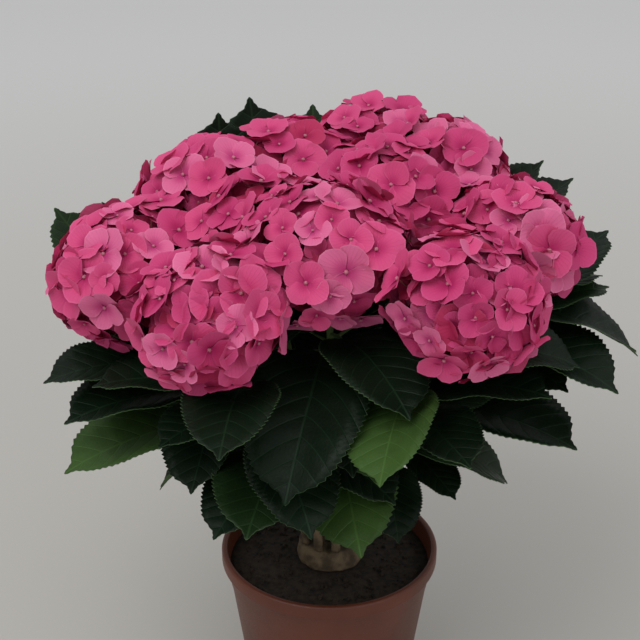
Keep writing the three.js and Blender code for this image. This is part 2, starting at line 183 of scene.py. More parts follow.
class LimbSettings(bpy.types.PropertyGroup):
    foot_thickness: length_property("Foot thickness", "Half thickness of a cane at the root crown", 0.0054)
    neck_thickness: length_property("Neck thickness", "Half thickness of a stem under its bloom", 0.0030)
    sides: IntProperty(name="Sides", description="Faces round each limb", default=14, min=6)
    ring_step: length_property("Ring step", "Length of limb between two rings of faces", 0.004)
    bark_relief: length_property("Bark relief", "Height of the bark's ridges", 0.0007)
    bark_colour: colour_property("Bark colour", "Colour of the old wood", (0.150, 0.105, 0.060))
    stem_colour: colour_property(
        "Stem colour", "Colour of the green stems and leaf stalks", (0.130, 0.200, 0.060)
    )


class LeafSettings(bpy.types.PropertyGroup):
    length: length_property("Length", "Blade length of a leaf that faces outward", 0.152)
    inward_length: length_property("Inward length", "Blade length of a leaf that faces inward", 0.112)
    petiole: length_property("Leaf stalk", "Length of a leaf's stalk", 0.026)
    petiole_thickness: length_property("Leaf stalk thickness", "Half thickness of a leaf's stalk", 0.0019)
    slenderness: share_property("Slenderness", "Half the blade's width as a share of its length", 0.33)
    thickness: length_property("Thickness", "Thickness of a blade", 0.0008)
    fold: share_property("Fold", "How far a blade's edges are folded up", 0.26)
    dark: colour_property("Dark leaves", "Upper side of most leaves", (0.0042, 0.0112, 0.0048))
    green: colour_property("Green leaves", "Upper side of the fresher leaves", (0.0110, 0.0265, 0.0082))
    light: colour_property("Light leaves", "Upper side of the youngest leaves", (0.0420, 0.0880, 0.0200))
    underside: colour_property("Undersides", "Lower side of the leaves", (0.0580, 0.1050, 0.0400))


class BloomSettings(bpy.types.PropertyGroup):
    florets: IntProperty(
        name="Florets", description="Florets that a full ball of bloom would have", default=80, min=20
    )
    inner_florets: IntProperty(
        name="Inner florets", description="Florets under those of a full ball", default=84, min=0
    )
    floret_size: share_property(
        "Floret size", "Radius of a floret as a share of a middling bloom's radius", 0.32
    )
    size_spread: share_property("Size spread", "How much the florets differ in size", 0.50)
    inset: length_property("Inset", "How deep the florets sit under the bloom's surface", 0.009)
    inner_inset: length_property("Inner inset", "How deep the inner florets sit", 0.020)
    unevenness: length_property("Unevenness", "How far a floret can sink under its neighbours", 0.012)
    crease_fill: length_property("Crease fill", "How softly neighbouring blooms join", 0.026)
    cover: FloatProperty(
        name="Cover", description="How far down a bloom its florets reach",
        default=math.radians(122), subtype="ANGLE",
    )
    pale: colour_property("Pale petals", "Colour of the palest florets", (0.705, 0.128, 0.290))
    pink: colour_property("Pink petals", "Colour of most florets", (0.660, 0.068, 0.208))
    rose: colour_property("Rose petals", "Colour of the cooler florets", (0.580, 0.048, 0.175))
    # Deep petals go mostly to the inner florets, as painted shade under the outer ones.
    deep: colour_property("Deep petals", "Colour of the darkest florets", (0.460, 0.025, 0.100))
    eye_colour: colour_property("Eyes", "Colour of the bead in each floret", (0.520, 0.170, 0.230))
    ray_colour: colour_property("Flower stalks", "Colour of the stalks inside a bloom", (0.330, 0.110, 0.090))


class StageSettings(bpy.types.PropertyGroup):
    floor_colour: colour_property("Floor", "Colour of the floor", (0.76, 0.755, 0.745))
    # Painted shade: the floor round the pot is painted darker, as the shadow of the pot and the plant.
    floor_shade_colour: colour_property(
        "Painted shade round the pot", "Colour of the floor round the pot", (0.54, 0.52, 0.485)
    )
    sky_colour: colour_property("Ceiling light", "Colour of the light from above", (0.78, 0.79, 0.80))
    side_light: colour_property("Side light", "Colour of the light from the walls", (0.28, 0.28, 0.28))
    backdrop_colour: colour_property("Backdrop", "Colour seen beyond the floor", (0.50, 0.50, 0.50))
    camera_lens: FloatProperty(
        name="Lens", description="Focal length of the camera", default=75.0, unit="CAMERA"
    )
    camera_distance: length_property("Camera distance", "From the camera to the middle of the crown", 1.33)
    camera_height: FloatProperty(
        name="Camera angle", description="How far the camera looks down",
        default=math.radians(25), subtype="ANGLE",
    )


# --- Small tools ---------------------------------------------------------------------------


def chance(a, b, c):
    """A repeatable number from 0 to 1 for three keys."""
    wave = math.sin(a * 12.9898 + b * 78.233 + c * 37.719 + SEED) * 43758.5453
    return wave - math.floor(wave)


def mix(a, b, share):
    return a + (b - a) * share


def heading(azimuth):
    return np.array([math.cos(math.radians(azimuth)), math.sin(math.radians(azimuth)), 0.0])


def unit(vector):
    return vector / np.linalg.norm(vector)


def turned(points, axis, angle):
    """Points turned about an axis through the origin."""
    matrix = np.array(Matrix.Rotation(angle, 3, Vector(axis)))
    return points @ matrix.T


class Line:
    """A cubic Bezier that is measured along its length."""

    SAMPLES = 201

    def __init__(self, *ends):
        self.ends = np.array(ends)
        self.times = np.linspace(0, 1, self.SAMPLES)
        steps = np.linalg.norm(np.diff(self.at(self.times), axis=0), axis=1)
        self.lengths = np.concatenate([[0.0], np.cumsum(steps)])
        self.length = self.lengths[-1]

    def at(self, time):
        t = np.asarray(time)[..., None]
        a, b, c, d = self.ends
        return a * (1 - t) ** 3 + 3 * b * t * (1 - t) ** 2 + 3 * c * t**2 * (1 - t) + d * t**3

    def time_of(self, along):
        return np.interp(along, self.lengths, self.times)

    def point(self, along):
        return self.at(self.time_of(along))

    def tangent(self, along):
        t = np.asarray(self.time_of(along))[..., None]
        a, b, c, d = self.ends
        slope = (b - a) * (1 - t) ** 2 + 2 * (c - b) * t * (1 - t) + (d - c) * t**2
        return slope / np.linalg.norm(slope, axis=-1, keepdims=True)


def lay_out_shoots():
    """Gives every shoot its foot, its line and its lengths."""
    rings = (
        ([shoot for shoot in SHOOTS if shoot["reach"] >= INNER_REACH], OUTER_FEET),
        ([shoot for shoot in SHOOTS if shoot["reach"] < INNER_REACH], INNER_FEET),
    )
    for members, radius in rings:
        ring = sorted(members, key=lambda shoot: shoot["azimuth"])
        step = 360 / len(ring)
        start = sum(shoot["azimuth"] - rank * step for rank, shoot in enumerate(ring)) / len(ring)
        for rank, shoot in enumerate(ring):
            shoot["foot"] = heading(start + rank * step) * radius + UP * (CROWN_HIGH.z + SEAT_GAP)
    for number, shoot in enumerate(SHOOTS):
        outward = heading(shoot["azimuth"])
        tilt = math.radians(shoot["reach"] * BLOOM_TILT)
        rise = shoot["height"] - shoot["foot"][2]
        shoot["number"] = number
        shoot["pairs"] = INNER_PAIRS if shoot["reach"] < INNER_REACH else OUTER_PAIRS
        shoot["middle"] = outward * shoot["reach"] + UP * shoot["height"]
        shoot["axis"] = outward * math.sin(tilt) + UP * math.cos(tilt)
        shoot["line"] = Line(
            shoot["foot"],
            shoot["foot"] + UP * rise * FOOT_STRAIGHT,
            shoot["middle"] - shoot["axis"] * rise * NECK_STRAIGHT,
            shoot["middle"],
        )
        shoot["length"] = shoot["line"].length
        shoot["cane_end"] = shoot["length"] * CANE_SHARE
        shoot["stem_end"] = shoot["length"] - shoot["radius"] * STALK_START


lay_out_shoots()


def nodes_named(start):
    return [start + shoot["name"] for shoot in SHOOTS]


# --- Meshes --------------------------------------------------------------------------------


def shaped_grid(columns, rows, place):
    """A grid of faces as a bmesh, each vertex moved to place(across, along), both from 0 to 1."""
    bm = bmesh.new()
    bmesh.ops.create_grid(bm, x_segments=columns, y_segments=rows, size=0.5)
    for vertex in bm.verts:
        vertex.co = place(vertex.co.x + 0.5, vertex.co.y + 0.5)
    return bm


def tube(columns, rows, place):
    """A grid rolled up into a tube with capped ends."""
    bm = shaped_grid(columns, rows, place)
    bmesh.ops.remove_doubles(bm, verts=bm.verts, dist=1e-6)
    ends = [edge for edge in bm.edges if edge.is_boundary]
    bmesh.ops.holes_fill(bm, edges=ends, sides=0)
    bmesh.ops.recalc_face_normals(bm, faces=bm.faces)
    return bm


class Template:
    """A small shape as arrays, ready to be copied many times."""

    def __init__(self, bm, uv_of=None, kind_of=None):
        bm.verts.index_update()
        self.points = np.array([vertex.co for vertex in bm.verts])
        self.corners = np.array([vertex.index for face in bm.faces for vertex in face.verts])
        self.sizes = np.array([len(face.verts) for face in bm.faces])
        spots = uv_of or (lambda co: (co.x, co.y))
        self.uvs = np.array([spots(vertex.co) for face in bm.faces for vertex in face.verts])
        self.kinds = np.array([kind_of(face) if kind_of else 0 for face in bm.faces])
        self.faces = [[vertex.index for vertex in face.verts] for face in bm.faces]
        bm.free()

    def take_in(self, other):
        """Adds another template's arrays to this one's, all but its list of faces."""
        self.corners = np.concatenate([self.corners, other.corners + len(self.points)])
        for name in ("points", "sizes", "uvs", "kinds"):
            setattr(self, name, np.concatenate([getattr(self, name), getattr(other, name)]))


class Gathering:
    """Copies of templates that become one joined piece."""

    def __init__(self, name, materials, slot, replaced=()):
        self.name, self.materials, self.slot, self.replaced = name, materials, slot, replaced
        self.points, self.corners, self.sizes, self.uvs, self.kinds = [], [], [], [], []
        self.count = 0

    def add(self, template, points=None):
        """Adds a copy of a template, with its vertices at these points."""
        self.points.append(template.points if points is None else points)
        self.corners.append(template.corners + self.count)
        self.sizes.append(template.sizes)
        self.uvs.append(template.uvs)
        self.kinds.append(template.kinds)
        self.count += len(template.points)

    def make(self):
        if not self.points:
            raise RuntimeError(f"{self.name} has nothing in it")
        mesh = bpy.data.meshes.new(self.name)
        sizes = np.concatenate(self.sizes)
        corners = np.concatenate(self.corners)
        mesh.vertices.add(self.count)
        mesh.vertices.foreach_set("co", np.concatenate(self.points).astype(np.float32).ravel())
        mesh.loops.add(len(corners))
        mesh.loops.foreach_set("vertex_index", corners.astype(np.int32))
        mesh.polygons.add(len(sizes))
        starts = np.concatenate([[0], np.cumsum(sizes)[:-1]])
        mesh.polygons.foreach_set("loop_start", starts.astype(np.int32))
        mesh.polygons.foreach_set("material_index", np.concatenate(self.kinds).astype(np.int32))
        mesh.polygons.foreach_set("use_smooth", np.ones(len(sizes), bool))
        mesh.update(calc_edges=True)
        layer = mesh.uv_layers.new(name="UVMap")
        layer.data.foreach_set("uv", np.concatenate(self.uvs).astype(np.float32).ravel())
        mesh.validate()
        return finished(self.name, mesh, self.materials, self.slot, self.replaced)


def finished(name, mesh, materials, slot, replaced=()):
    """A piece of the plant from a mesh that is already in place."""
    piece = bpy.data.objects.new(name, mesh)
    bpy.context.scene.collection.objects.link(piece)
    for material in materials:
        mesh.materials.append(material)
    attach(piece, "root")
    if replaced:
        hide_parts(*replaced)
    return piece


def from_bmesh(name, bm, materials, slot, replaced=()):
    mesh = bpy.data.meshes.new(name)
    for face in bm.faces:
        face.smooth = True
    bm.to_mesh(mesh)
    bm.free()
    return finished(name, mesh, materials, slot, replaced)


# --- Materials -----------------------------------------------------------------------------


VECTOR, FLOAT, COLOR = "NodeSocketVector", "NodeSocketFloat", "NodeSocketColor"
LEAF_SHEEN = 0.12
PETAL_SHEEN = 0.16
PETAL_ROUGHNESS = 0.62


class Wiring:
    """Adds nodes to a node tree and joins them up."""

    def __init__(self, tree):
        self.tree = tree

    def node(self, kind, inputs=None, **settings):
        node = self.tree.nodes.new(kind)
        for name, value in settings.items():
            setattr(node, name, value)
        for name, value in (inputs or {}).items():
            socket = node.inputs[name]
            if isinstance(value, bpy.types.NodeSocket):
                self.tree.links.new(value, socket)
            else:
                socket.default_value = value
        return node

    def math(self, operation, *values):
        node = self.node("ShaderNodeMath", dict(enumerate(values)), operation=operation)
        return node.outputs[0]

    def ramp(self, value, low, high, start=0.0, end=1.0):
        """Maps low..high to start..end smoothly."""
        inputs = {"Value": value, "From Min": low, "From Max": high, "To Min": start, "To Max": end}
        return self.node("ShaderNodeMapRange", inputs, interpolation_type="SMOOTHSTEP").outputs[0]

    def blend(self, factor, a, b):
        node = self.node("ShaderNodeMix", data_type="RGBA")
        for socket, value in ((node.inputs[0], factor), (node.inputs[6], a), (node.inputs[7], b)):
            if isinstance(value, bpy.types.NodeSocket):
                self.tree.links.new(value, socket)
            else:
                socket.default_value = value
        return node.outputs[2]


def rgba(colour, gain=1.0):
    return (*(min(1.0, channel * gain) for channel in colour), 1.0)


def tinted(colour, gains, lift=0.0):
    """A colour with a gain for each channel, and its green and blue lifted."""
    red, green, blue = (channel * gain for channel, gain in zip(colour, gains))
    return rgba((red, green + lift, blue + lift))


def effect(name, takes, gives):
    """A new shader node group with named sockets: its wiring, its input and its output nodes."""
    group = bpy.data.node_groups.new(name, "ShaderNodeTree")
    for socket, kind in takes.items():
        group.interface.new_socket(socket, in_out="INPUT", socket_type=kind)
    for socket, kind in gives.items():
        group.interface.new_socket(socket, in_out="OUTPUT", socket_type=kind)
    wiring = Wiring(group)
    return group, wiring, wiring.node("NodeGroupInput"), wiring.node("NodeGroupOutput")


def mottle_effect():
    """Soft blotches between two colours, with a fine grain for relief."""
    name = "Mottle"
    if name in bpy.data.node_groups:
        return bpy.data.node_groups[name]
    takes = {"Place": VECTOR, "Blotch Scale": FLOAT, "Grain Scale": FLOAT, "Light": COLOR, "Dark": COLOR}
    group, wiring, start, end = effect(name, takes, {"Color": COLOR, "Grain": FLOAT})
    place = start.outputs["Place"]
    blotch = wiring.node("ShaderNodeTexNoise", {
        "Vector": place, "Scale": start.outputs["Blotch Scale"], "Detail": 4.0})
    grain = wiring.node("ShaderNodeTexNoise", {
        "Vector": place, "Scale": start.outputs["Grain Scale"], "Detail": 6.0, "Roughness": 0.65})
    share = wiring.ramp(blotch.outputs["Fac"], 0.34, 0.66)
    colour = wiring.blend(share, start.outputs["Dark"], start.outputs["Light"])
    wiring.tree.links.new(colour, end.inputs["Color"])
    wiring.tree.links.new(grain.outputs["Fac"], end.inputs["Grain"])
    return group


def leaf_vein_effect():
    """The midrib, the arching side veins and the quilting between them, from the blade's own map."""
    name = "Leaf Veins"
    if name in bpy.data.node_groups:
        return bpy.data.node_groups[name]
    takes = {"Place": VECTOR, "Veins": FLOAT}
    group, wiring, start, end = effect(name, takes, {"Vein": FLOAT, "Height": FLOAT})
    parts = wiring.node("ShaderNodeSeparateXYZ", {0: start.outputs["Place"]})
    aside = wiring.math("ABSOLUTE", wiring.math("SUBTRACT", parts.outputs[0], 0.5))
    slant = wiring.math("MULTIPLY_ADD", aside, VEIN_ARCH, VEIN_SLANT)
    sweep = wiring.math("MULTIPLY", aside, slant)
    phase = wiring.math("MULTIPLY", wiring.math("SUBTRACT", parts.outputs[1], sweep), start.outputs["Veins"])
    from_side_vein = wiring.math("PINGPONG", phase, 0.5)
    side_vein = wiring.math("MULTIPLY", wiring.ramp(from_side_vein, 0.010, 0.065, 1.0, 0.0), 0.8)
    midrib = wiring.ramp(aside, 0.003, 0.011, 1.0, 0.0)
    net = wiring.node("ShaderNodeTexVoronoi", {"Vector": start.outputs["Place"], "Scale": 42.0},
                      feature="DISTANCE_TO_EDGE", voronoi_dimensions="2D")
    fine = wiring.ramp(net.outputs["Distance"], 0.02, 0.12, 1.0, 0.0)
    main = wiring.math("MAXIMUM", side_vein, midrib)
    vein = wiring.math("MAXIMUM", main, wiring.math("MULTIPLY", fine, 0.22))
    wiring.tree.links.new(vein, end.inputs["Vein"])
    quilt = wiring.math("SINE", wiring.math("MULTIPLY", from_side_vein, math.pi))
    furrow = wiring.math("MULTIPLY", vein, 0.4)
    height = wiring.math("SUBTRACT", wiring.math("MULTIPLY", quilt, 0.7), furrow)
    wiring.tree.links.new(height, end.inputs["Height"])
    return group


def petal_effect():
    """The petal's darker middle round the eye, partly its own deeper colour and partly painted shade where
    the petals cup and overlap; the fine rays; and the thin pale margin. All from the petal's own map.
    """
    name = "Petal Rays"
    if name in bpy.data.node_groups:
        return bpy.data.node_groups[name]
    takes = {"Place": VECTOR, "Body": COLOR, "Throat": COLOR, "Margin": COLOR}
    group, wiring, start, end = effect(name, takes, {"Color": COLOR, "Height": FLOAT})
    parts = wiring.node("ShaderNodeSeparateXYZ", {0: start.outputs["Place"]})
    from_middle = wiring.math("ABSOLUTE", wiring.math("SUBTRACT", parts.outputs[0], 0.5))
    aside = wiring.math("MULTIPLY", from_middle, 2.0)
    along = parts.outputs[1]
    rays = wiring.math("PINGPONG", wiring.math("MULTIPLY", parts.outputs[0], 11.0), 0.5)
    ray = wiring.ramp(rays, 0.04, 0.16, 1.0, 0.0)
    faded = wiring.math("MULTIPLY", ray, wiring.ramp(along, 0.05, 0.75, 0.42, 0.08))
    # Darker towards the eye: partly the petal's own deeper middle, partly painted shade where the petals cup
    # and overlap.
    throat_and_shade = wiring.ramp(along, 0.02, 0.60, 1.0, 0.0)
    edge = wiring.math("MAXIMUM", wiring.ramp(along, 0.93, 1.0), wiring.ramp(aside, 0.93, 1.0))
    edge = wiring.math("MULTIPLY_ADD", wiring.ramp(along, 0.40, 1.0), 0.35, edge)
    colour = wiring.blend(throat_and_shade, start.outputs["Body"], start.outputs["Throat"])
    colour = wiring.blend(faded, colour, start.outputs["Throat"])
    margin = wiring.math("MULTIPLY", wiring.math("MINIMUM", edge, 1.0), 0.5)
    colour = wiring.blend(margin, colour, start.outputs["Margin"])
    wiring.tree.links.new(colour, end.inputs["Color"])
    wiring.tree.links.new(ray, end.inputs["Height"])
    return group


def surface(name, roughness):
    """A new material: itself, its wiring and its shader."""
    material = bpy.data.materials.new(name)
    material.use_nodes = True
    shader = material.node_tree.nodes["Principled BSDF"]
    shader.inputs["Roughness"].default_value = roughness
    return material, Wiring(material.node_tree), shader


def object_place(wiring):
    return wiring.node("ShaderNodeTexCoord").outputs["Object"]


def own_map(wiring):
    return wiring.node("ShaderNodeUVMap", uv_map="UVMap").outputs["UV"]


def relief(wiring, shader, height, distance, strength=1.0):
    bump = wiring.node("ShaderNodeBump", {"Height": height, "Distance": distance, "Strength": strength})
    wiring.tree.links.new(bump.outputs[0], shader.inputs["Normal"])


def mottling(wiring, colour, gains, scales):
    """The mottle effect on one colour: the gains of its light and dark blotches, and the scales of
    its blotches and its grain."""
    return wiring.node("ShaderNodeGroup", {
        "Place": object_place(wiring), "Blotch Scale": scales[0], "Grain Scale": scales[1],
        "Light": rgba(colour, gains[0]), "Dark": rgba(colour, gains[1]),
    }, node_tree=mottle_effect())


def vary_gloss(wiring, shader, grain, smoothest, roughest):
    gloss = wiring.ramp(grain, 0.3, 0.7, smoothest, roughest)
    wiring.tree.links.new(gloss, shader.inputs["Roughness"])


def mottled_material(name, colour, gains, scales, roughness, grain_height, gloss_spread=0.0):
    """Blotches of one colour with a grain, for soil, bark, stems and plastic."""
    material, wiring, shader = surface(name, roughness)
    mottle = mottling(wiring, colour, gains, scales)
    grain = mottle.outputs["Grain"]
    wiring.tree.links.new(mottle.outputs["Color"], shader.inputs["Base Color"])
    if gloss_spread:
        vary_gloss(wiring, shader, grain, roughness - gloss_spread, roughness + gloss_spread)
    relief(wiring, shader, grain, grain_height)
    return material


def leaf_material(name, colour, vein_colour, roughness, vein_share, relief_height):
    material, wiring, shader = surface(name, roughness)
    mottle = mottling(wiring, colour, (1.18, 0.82), (22.0, 420.0))
    shader.inputs["Specular IOR Level"].default_value = LEAF_SHEEN
    veins = wiring.node("ShaderNodeGroup", node_tree=leaf_vein_effect())
    wiring.tree.links.new(own_map(wiring), veins.inputs["Place"])
    veins.inputs["Veins"].default_value = SIDE_VEINS
    share = wiring.math("MULTIPLY", veins.outputs["Vein"], vein_share)
    blade = wiring.blend(share, mottle.outputs["Color"], rgba(vein_colour))
    wiring.tree.links.new(blade, shader.inputs["Base Color"])
    vary_gloss(wiring, shader, mottle.outputs["Grain"], roughness - 0.06, roughness + 0.08)
    grain = wiring.math("MULTIPLY", mottle.outputs["Grain"], 0.35)
    height = wiring.math("ADD", veins.outputs["Height"], grain)
    relief(wiring, shader, height, relief_height)
    return material


def petal_material(name, colour):
    material, wiring, shader = surface(name, PETAL_ROUGHNESS)
    petal = wiring.node("ShaderNodeGroup", node_tree=petal_effect())
    wiring.tree.links.new(own_map(wiring), petal.inputs["Place"])
    petal.inputs["Body"].default_value = rgba(colour)
    # The darker, redder middle colour: partly the petal's own, partly painted shade in the cupped middle of
    # the floret.
    petal.inputs["Throat"].default_value = tinted(colour, (0.72, 0.30, 0.62))
    petal.inputs["Margin"].default_value = tinted(colour, (1.10, 1.8, 1.35), 0.03)
    back = wiring.node("ShaderNodeNewGeometry").outputs["Backfacing"]
    paler = tinted(colour, (0.98, 1.3, 1.15), 0.01)
    shown = wiring.blend(wiring.math("MULTIPLY", back, 0.55), petal.outputs["Color"], paler)
    wiring.tree.links.new(shown, shader.inputs["Base Color"])
    shader.inputs["Specular IOR Level"].default_value = PETAL_SHEEN
    relief(wiring, shader, petal.outputs["Height"], 0.0002, 0.6)
    return material


# --- Pot and soil --------------------------------------------------------------------------

POT_STEPS = 96
POT_FLOOR = 3 * MM
DRAIN_HOLES = 8
DRAIN_RADIUS = 6 * MM
DRAIN_RING = 62 * MM
SHARP_ANGLE = math.radians(40)
SOIL_STEPS = 72
SOIL_RINGS = 22
SOIL_SLOPE = 5 * MM


def spun(profile, steps=POT_STEPS):
    """A full turn of an open outline of (radius, height) about the axis."""
    bm = bmesh.new()
    verts = [bm.verts.new((radius, 0.0, height)) for radius, height in profile]
    for a, b in zip(verts, verts[1:]):
        bm.edges.new((a, b))
    bmesh.ops.spin(
        bm, geom=bm.verts[:] + bm.edges[:], cent=(0, 0, 0), axis=(0, 0, 1), angle=math.tau,
        steps=steps, use_merge=True, use_duplicate=False, dvec=(0, 0, 0),
    )
    bmesh.ops.remove_doubles(bm, verts=bm.verts, dist=1e-6)
    bmesh.ops.recalc_face_normals(bm, faces=bm.faces)
    return bm


def pot_radius_at(pot, height):
    return mix(pot.foot_radius, pot.top_radius, height / pot.height)


class HYDRANGEA_OT_pot(bpy.types.Operator):
    """Make the nursery pot, with its rim band, steps and drain holes"""

    bl_idname = "hydrangea.pot"
    bl_label = "Pot"

    def execute(self, context):
        pot = context.scene.hydrangea_pot
        plastic = mottled_material(
            "pot_plastic", pot.colour, (1.1, 0.85), (14.0, 900.0), 0.46, 0.00012, gloss_spread=0.08
        )
        piece = from_bmesh("nursery_pot", spun(self.outline(pot)), [plastic], "pot", ["pot"])
        piece.data = self.drilled(context, piece)
        piece.data.set_sharp_from_angle(angle=SHARP_ANGLE)
        return {"FINISHED"}

    def outline(self, pot):
        """(radius, height) up the outside, over the rim and down the inside."""
        rim_foot = pot.height - pot.rim_height
        out = lambda height: pot_radius_at(pot, height)
        inside = lambda height: pot_radius_at(pot, height) - pot.wall
        lip = pot.rim_radius
        return [
            (0.0, 0.0), (pot.foot_radius - 0.003, 0.0), (pot.foot_radius - 0.0008, 0.0006),
            (out(0.003), 0.003), (out(0.022), 0.022), (out(0.0235) - 0.0006, 0.0235),
            (out(0.150), 0.150), (out(0.1515) + 0.0006, 0.1515), (out(rim_foot - 0.001), rim_foot - 0.001),
            (out(rim_foot) + 0.0006, rim_foot), (lip - 0.0012, rim_foot), (lip - 0.0002, rim_foot + 0.0008),
            (lip, rim_foot + 0.002), (lip, pot.height - 0.0026), (lip - 0.0005, pot.height - 0.0011),
            (lip - 0.0018, pot.height - 0.0002), (lip - 0.0026, pot.height),
            (inside(pot.height) + 0.0012, pot.height), (inside(pot.height) + 0.0002, pot.height - 0.0008),
            (inside(pot.height - 0.003), pot.height - 0.003), (inside(POT_FLOOR + 0.004), POT_FLOOR + 0.004),
            (inside(POT_FLOOR) - 0.003, POT_FLOOR), (0.0, POT_FLOOR),
        ]

    def drilled(self, context, piece):
        """The pot's mesh with its ring of drain holes cut out."""
        drills = bmesh.new()
        for hole in range(DRAIN_HOLES):
            place = heading((hole + 0.5) * 360 / DRAIN_HOLES) * DRAIN_RING
            bmesh.ops.create_cone(
                drills, matrix=Matrix.Translation(Vector(place)), radius1=DRAIN_RADIUS, radius2=DRAIN_RADIUS,
                depth=POT_FLOOR * 4, segments=20, cap_ends=True,
            )
        mesh = bpy.data.meshes.new("drills")
        drills.to_mesh(mesh)
        drills.free()
        drill = bpy.data.objects.new("drills", mesh)
        context.scene.collection.objects.link(drill)
        cut = piece.modifiers.new("Drain holes", "BOOLEAN")
        cut.object, cut.operation, cut.solver = drill, "DIFFERENCE", "EXACT"
        context.view_layer.update()
        holed = bpy.data.meshes.new_from_object(piece.evaluated_get(context.evaluated_depsgraph_get()))
        piece.modifiers.clear()
        bpy.data.objects.remove(drill)
        return holed


class HYDRANGEA_OT_soil(bpy.types.Operator):
    """Fill the pot with damp soil that has a crumbly top"""

    bl_idname = "hydrangea.soil"
    bl_label = "Soil"

    CRUMBS = 420

    def execute(self, context):
        pot = context.scene.hydrangea_pot
        edge, top = SOIL_HIGH.z - SOIL_SLOPE, SOIL_HIGH.z
        inside = lambda height: pot_radius_at(pot, height) - pot.wall - SEAT_GAP * 1.5
        low = SOIL_LOW.z
        crown = CROWN_HIGH.x
        outline = [(0.0, low), (inside(low), low), (inside(edge), edge - 0.002)]
        for ring in range(1, SOIL_RINGS):
            share = ring / SOIL_RINGS
            height = mix(edge - 0.002, top - 0.0022, min(1.0, share * 1.7))
            outline.append((mix(inside(edge), 0.0, share), height))
        outline.append((0.0, top - 0.0022))
        bm = spun(outline, SOIL_STEPS)
        for vertex in bm.verts:
            radius = vertex.co.xy.length
            if vertex.co.z > edge - 0.003 and radius < inside(edge) - 0.001:
                lumps = noise.noise(vertex.co * 95) * 0.5 + noise.noise(vertex.co * 260) * 0.5
                vertex.co.z += 0.0020 * lumps
        peat = mottled_material("soil_peat", pot.soil_colour, (1.7, 0.55), (160.0, 900.0), 0.93, 0.0008)
        from_bmesh("soil_fill", bm, [peat], "soil", ["soil"])
        crumb = bmesh.new()
        bmesh.ops.create_icosphere(crumb, subdivisions=1, radius=1.0)
        template = Template(crumb)
        crumbs = Gathering("soil_crumbs", [peat], "soil")
        for key in range(self.CRUMBS):
            reach = mix(crown + 0.004, inside(edge) - 0.004, chance(key, 1, 21) ** 0.7)
            spot = heading(360 * chance(key, 2, 21)) * reach
            size = mix(0.0008, 0.0030, chance(key, 3, 21) ** 2)
            height = mix(top, edge, min(1.0, max(0.0, (reach - crown) / (inside(edge) - crown)))) - 0.0018
            stretch = np.array([mix(0.7, 1.4, chance(key, axis, 22)) for axis in range(3)])
            jagged = template.points * stretch * size
            jagged = turned(jagged, heading(360 * chance(key, 4, 21)) + UP, math.tau * chance(key, 5, 21))
            crumbs.add(template, jagged + spot + UP * (height + size * 0.3))
        crumbs.make()
        return {"FINISHED"}


# --- Wood and stems ------------------------------------------------------------------------

STEM_SUNK = 0.45
STEM_RELIEF = 0.2 * MM
JOINT_STEP = 38 * MM
JOINT_LENGTH = 2.8 * MM


def limb_bmesh(shoot, limbs, start, end, relief_height, key):
    """A tapering limb along its shoot, with ridged bark and a swollen joint at each old leaf scar."""
    line = shoot["line"]
    rows = max(6, round((end - start) / limbs.ring_step))
    outward = heading(shoot["azimuth"])

    def place(across, along):
        distance = mix(start, end, along)
        centre, tangent = line.point(distance), line.tangent(distance)
        side = unit(np.cross(tangent, outward))
        other = np.cross(tangent, side)
        angle = math.tau * across
        spoke = side * math.cos(angle) + other * math.sin(angle)
        thickness = mix(limbs.foot_thickness, limbs.neck_thickness, distance / line.length)
        around = Vector((math.cos(angle) * 2.0, math.sin(angle) * 2.0, distance * 60 + key * 7))
        ridges = noise.noise(around * 1.7) * 0.6 + noise.noise(around * 4.1) * 0.4
        joint = math.exp(-(((distance + key * 0.011) % JOINT_STEP - JOINT_STEP / 2) / JOINT_LENGTH) ** 2)
        bark = relief_height * (ridges - 0.3) + 0.10 * thickness * joint
        return Vector(centre + spoke * (thickness * 0.93 + bark))

    return tube(limbs.sides, rows, place)


class HYDRANGEA_OT_wood(bpy.types.Operator):
    """Make the root crown and the woody canes, with the relief of their bark"""

    bl_idname = "hydrangea.wood"
    bl_label = "Root crown and canes"

    CROWN_ROWS = 10
    CROWN_SIDES = 64

    def execute(self, context):
        limbs = context.scene.hydrangea_limbs
        bark = mottled_material("bark_wood", limbs.bark_colour, (1.35, 0.45), (70.0, 700.0), 0.85, 0.0005)
        canes = Gathering("woody_canes", [bark], "bark", nodes_named("cane_"))
        for shoot in SHOOTS:
            bm = limb_bmesh(shoot, limbs, 0.0, shoot["cane_end"], limbs.bark_relief, shoot["number"])
            canes.add(Template(bm))
        canes.make()
        from_bmesh("root_crown_wood", self.crown(), [bark], "bark", ["root_crown"])
        return {"FINISHED"}

    def crown(self):
        """A gnarled stump: a capped tube whose wall has lobes and whose top is lumpy."""
        low, high = CROWN_LOW.z, CROWN_HIGH.z
        radius = CROWN_HIGH.x

        def place(across, along):
            angle = math.tau * across
            if along < 0.5:
                share = along / 0.5
                reach = radius * mix(1.0, 0.86, share**2)
                height = mix(low, high - 0.002, share)
            else:
                share = (along - 0.5) / 0.5
                reach = radius * mix(0.86, 0.02, share)
                height = high - 0.002 + 0.0015 * share
            spot = Vector((math.cos(angle), math.sin(angle), height * 40))
            lobes = noise.noise(spot * 1.6) * 0.10 + noise.noise(spot * 4.5) * 0.05
            reach *= 0.95 + lobes
            height += 0.0018 * noise.noise(spot * 3.0) * (0.0 if along == 0 else 1.0)
            return Vector((math.cos(angle) * reach, math.sin(angle) * reach, min(height, high)))

        return tube(self.CROWN_SIDES, self.CROWN_ROWS * 2, place)


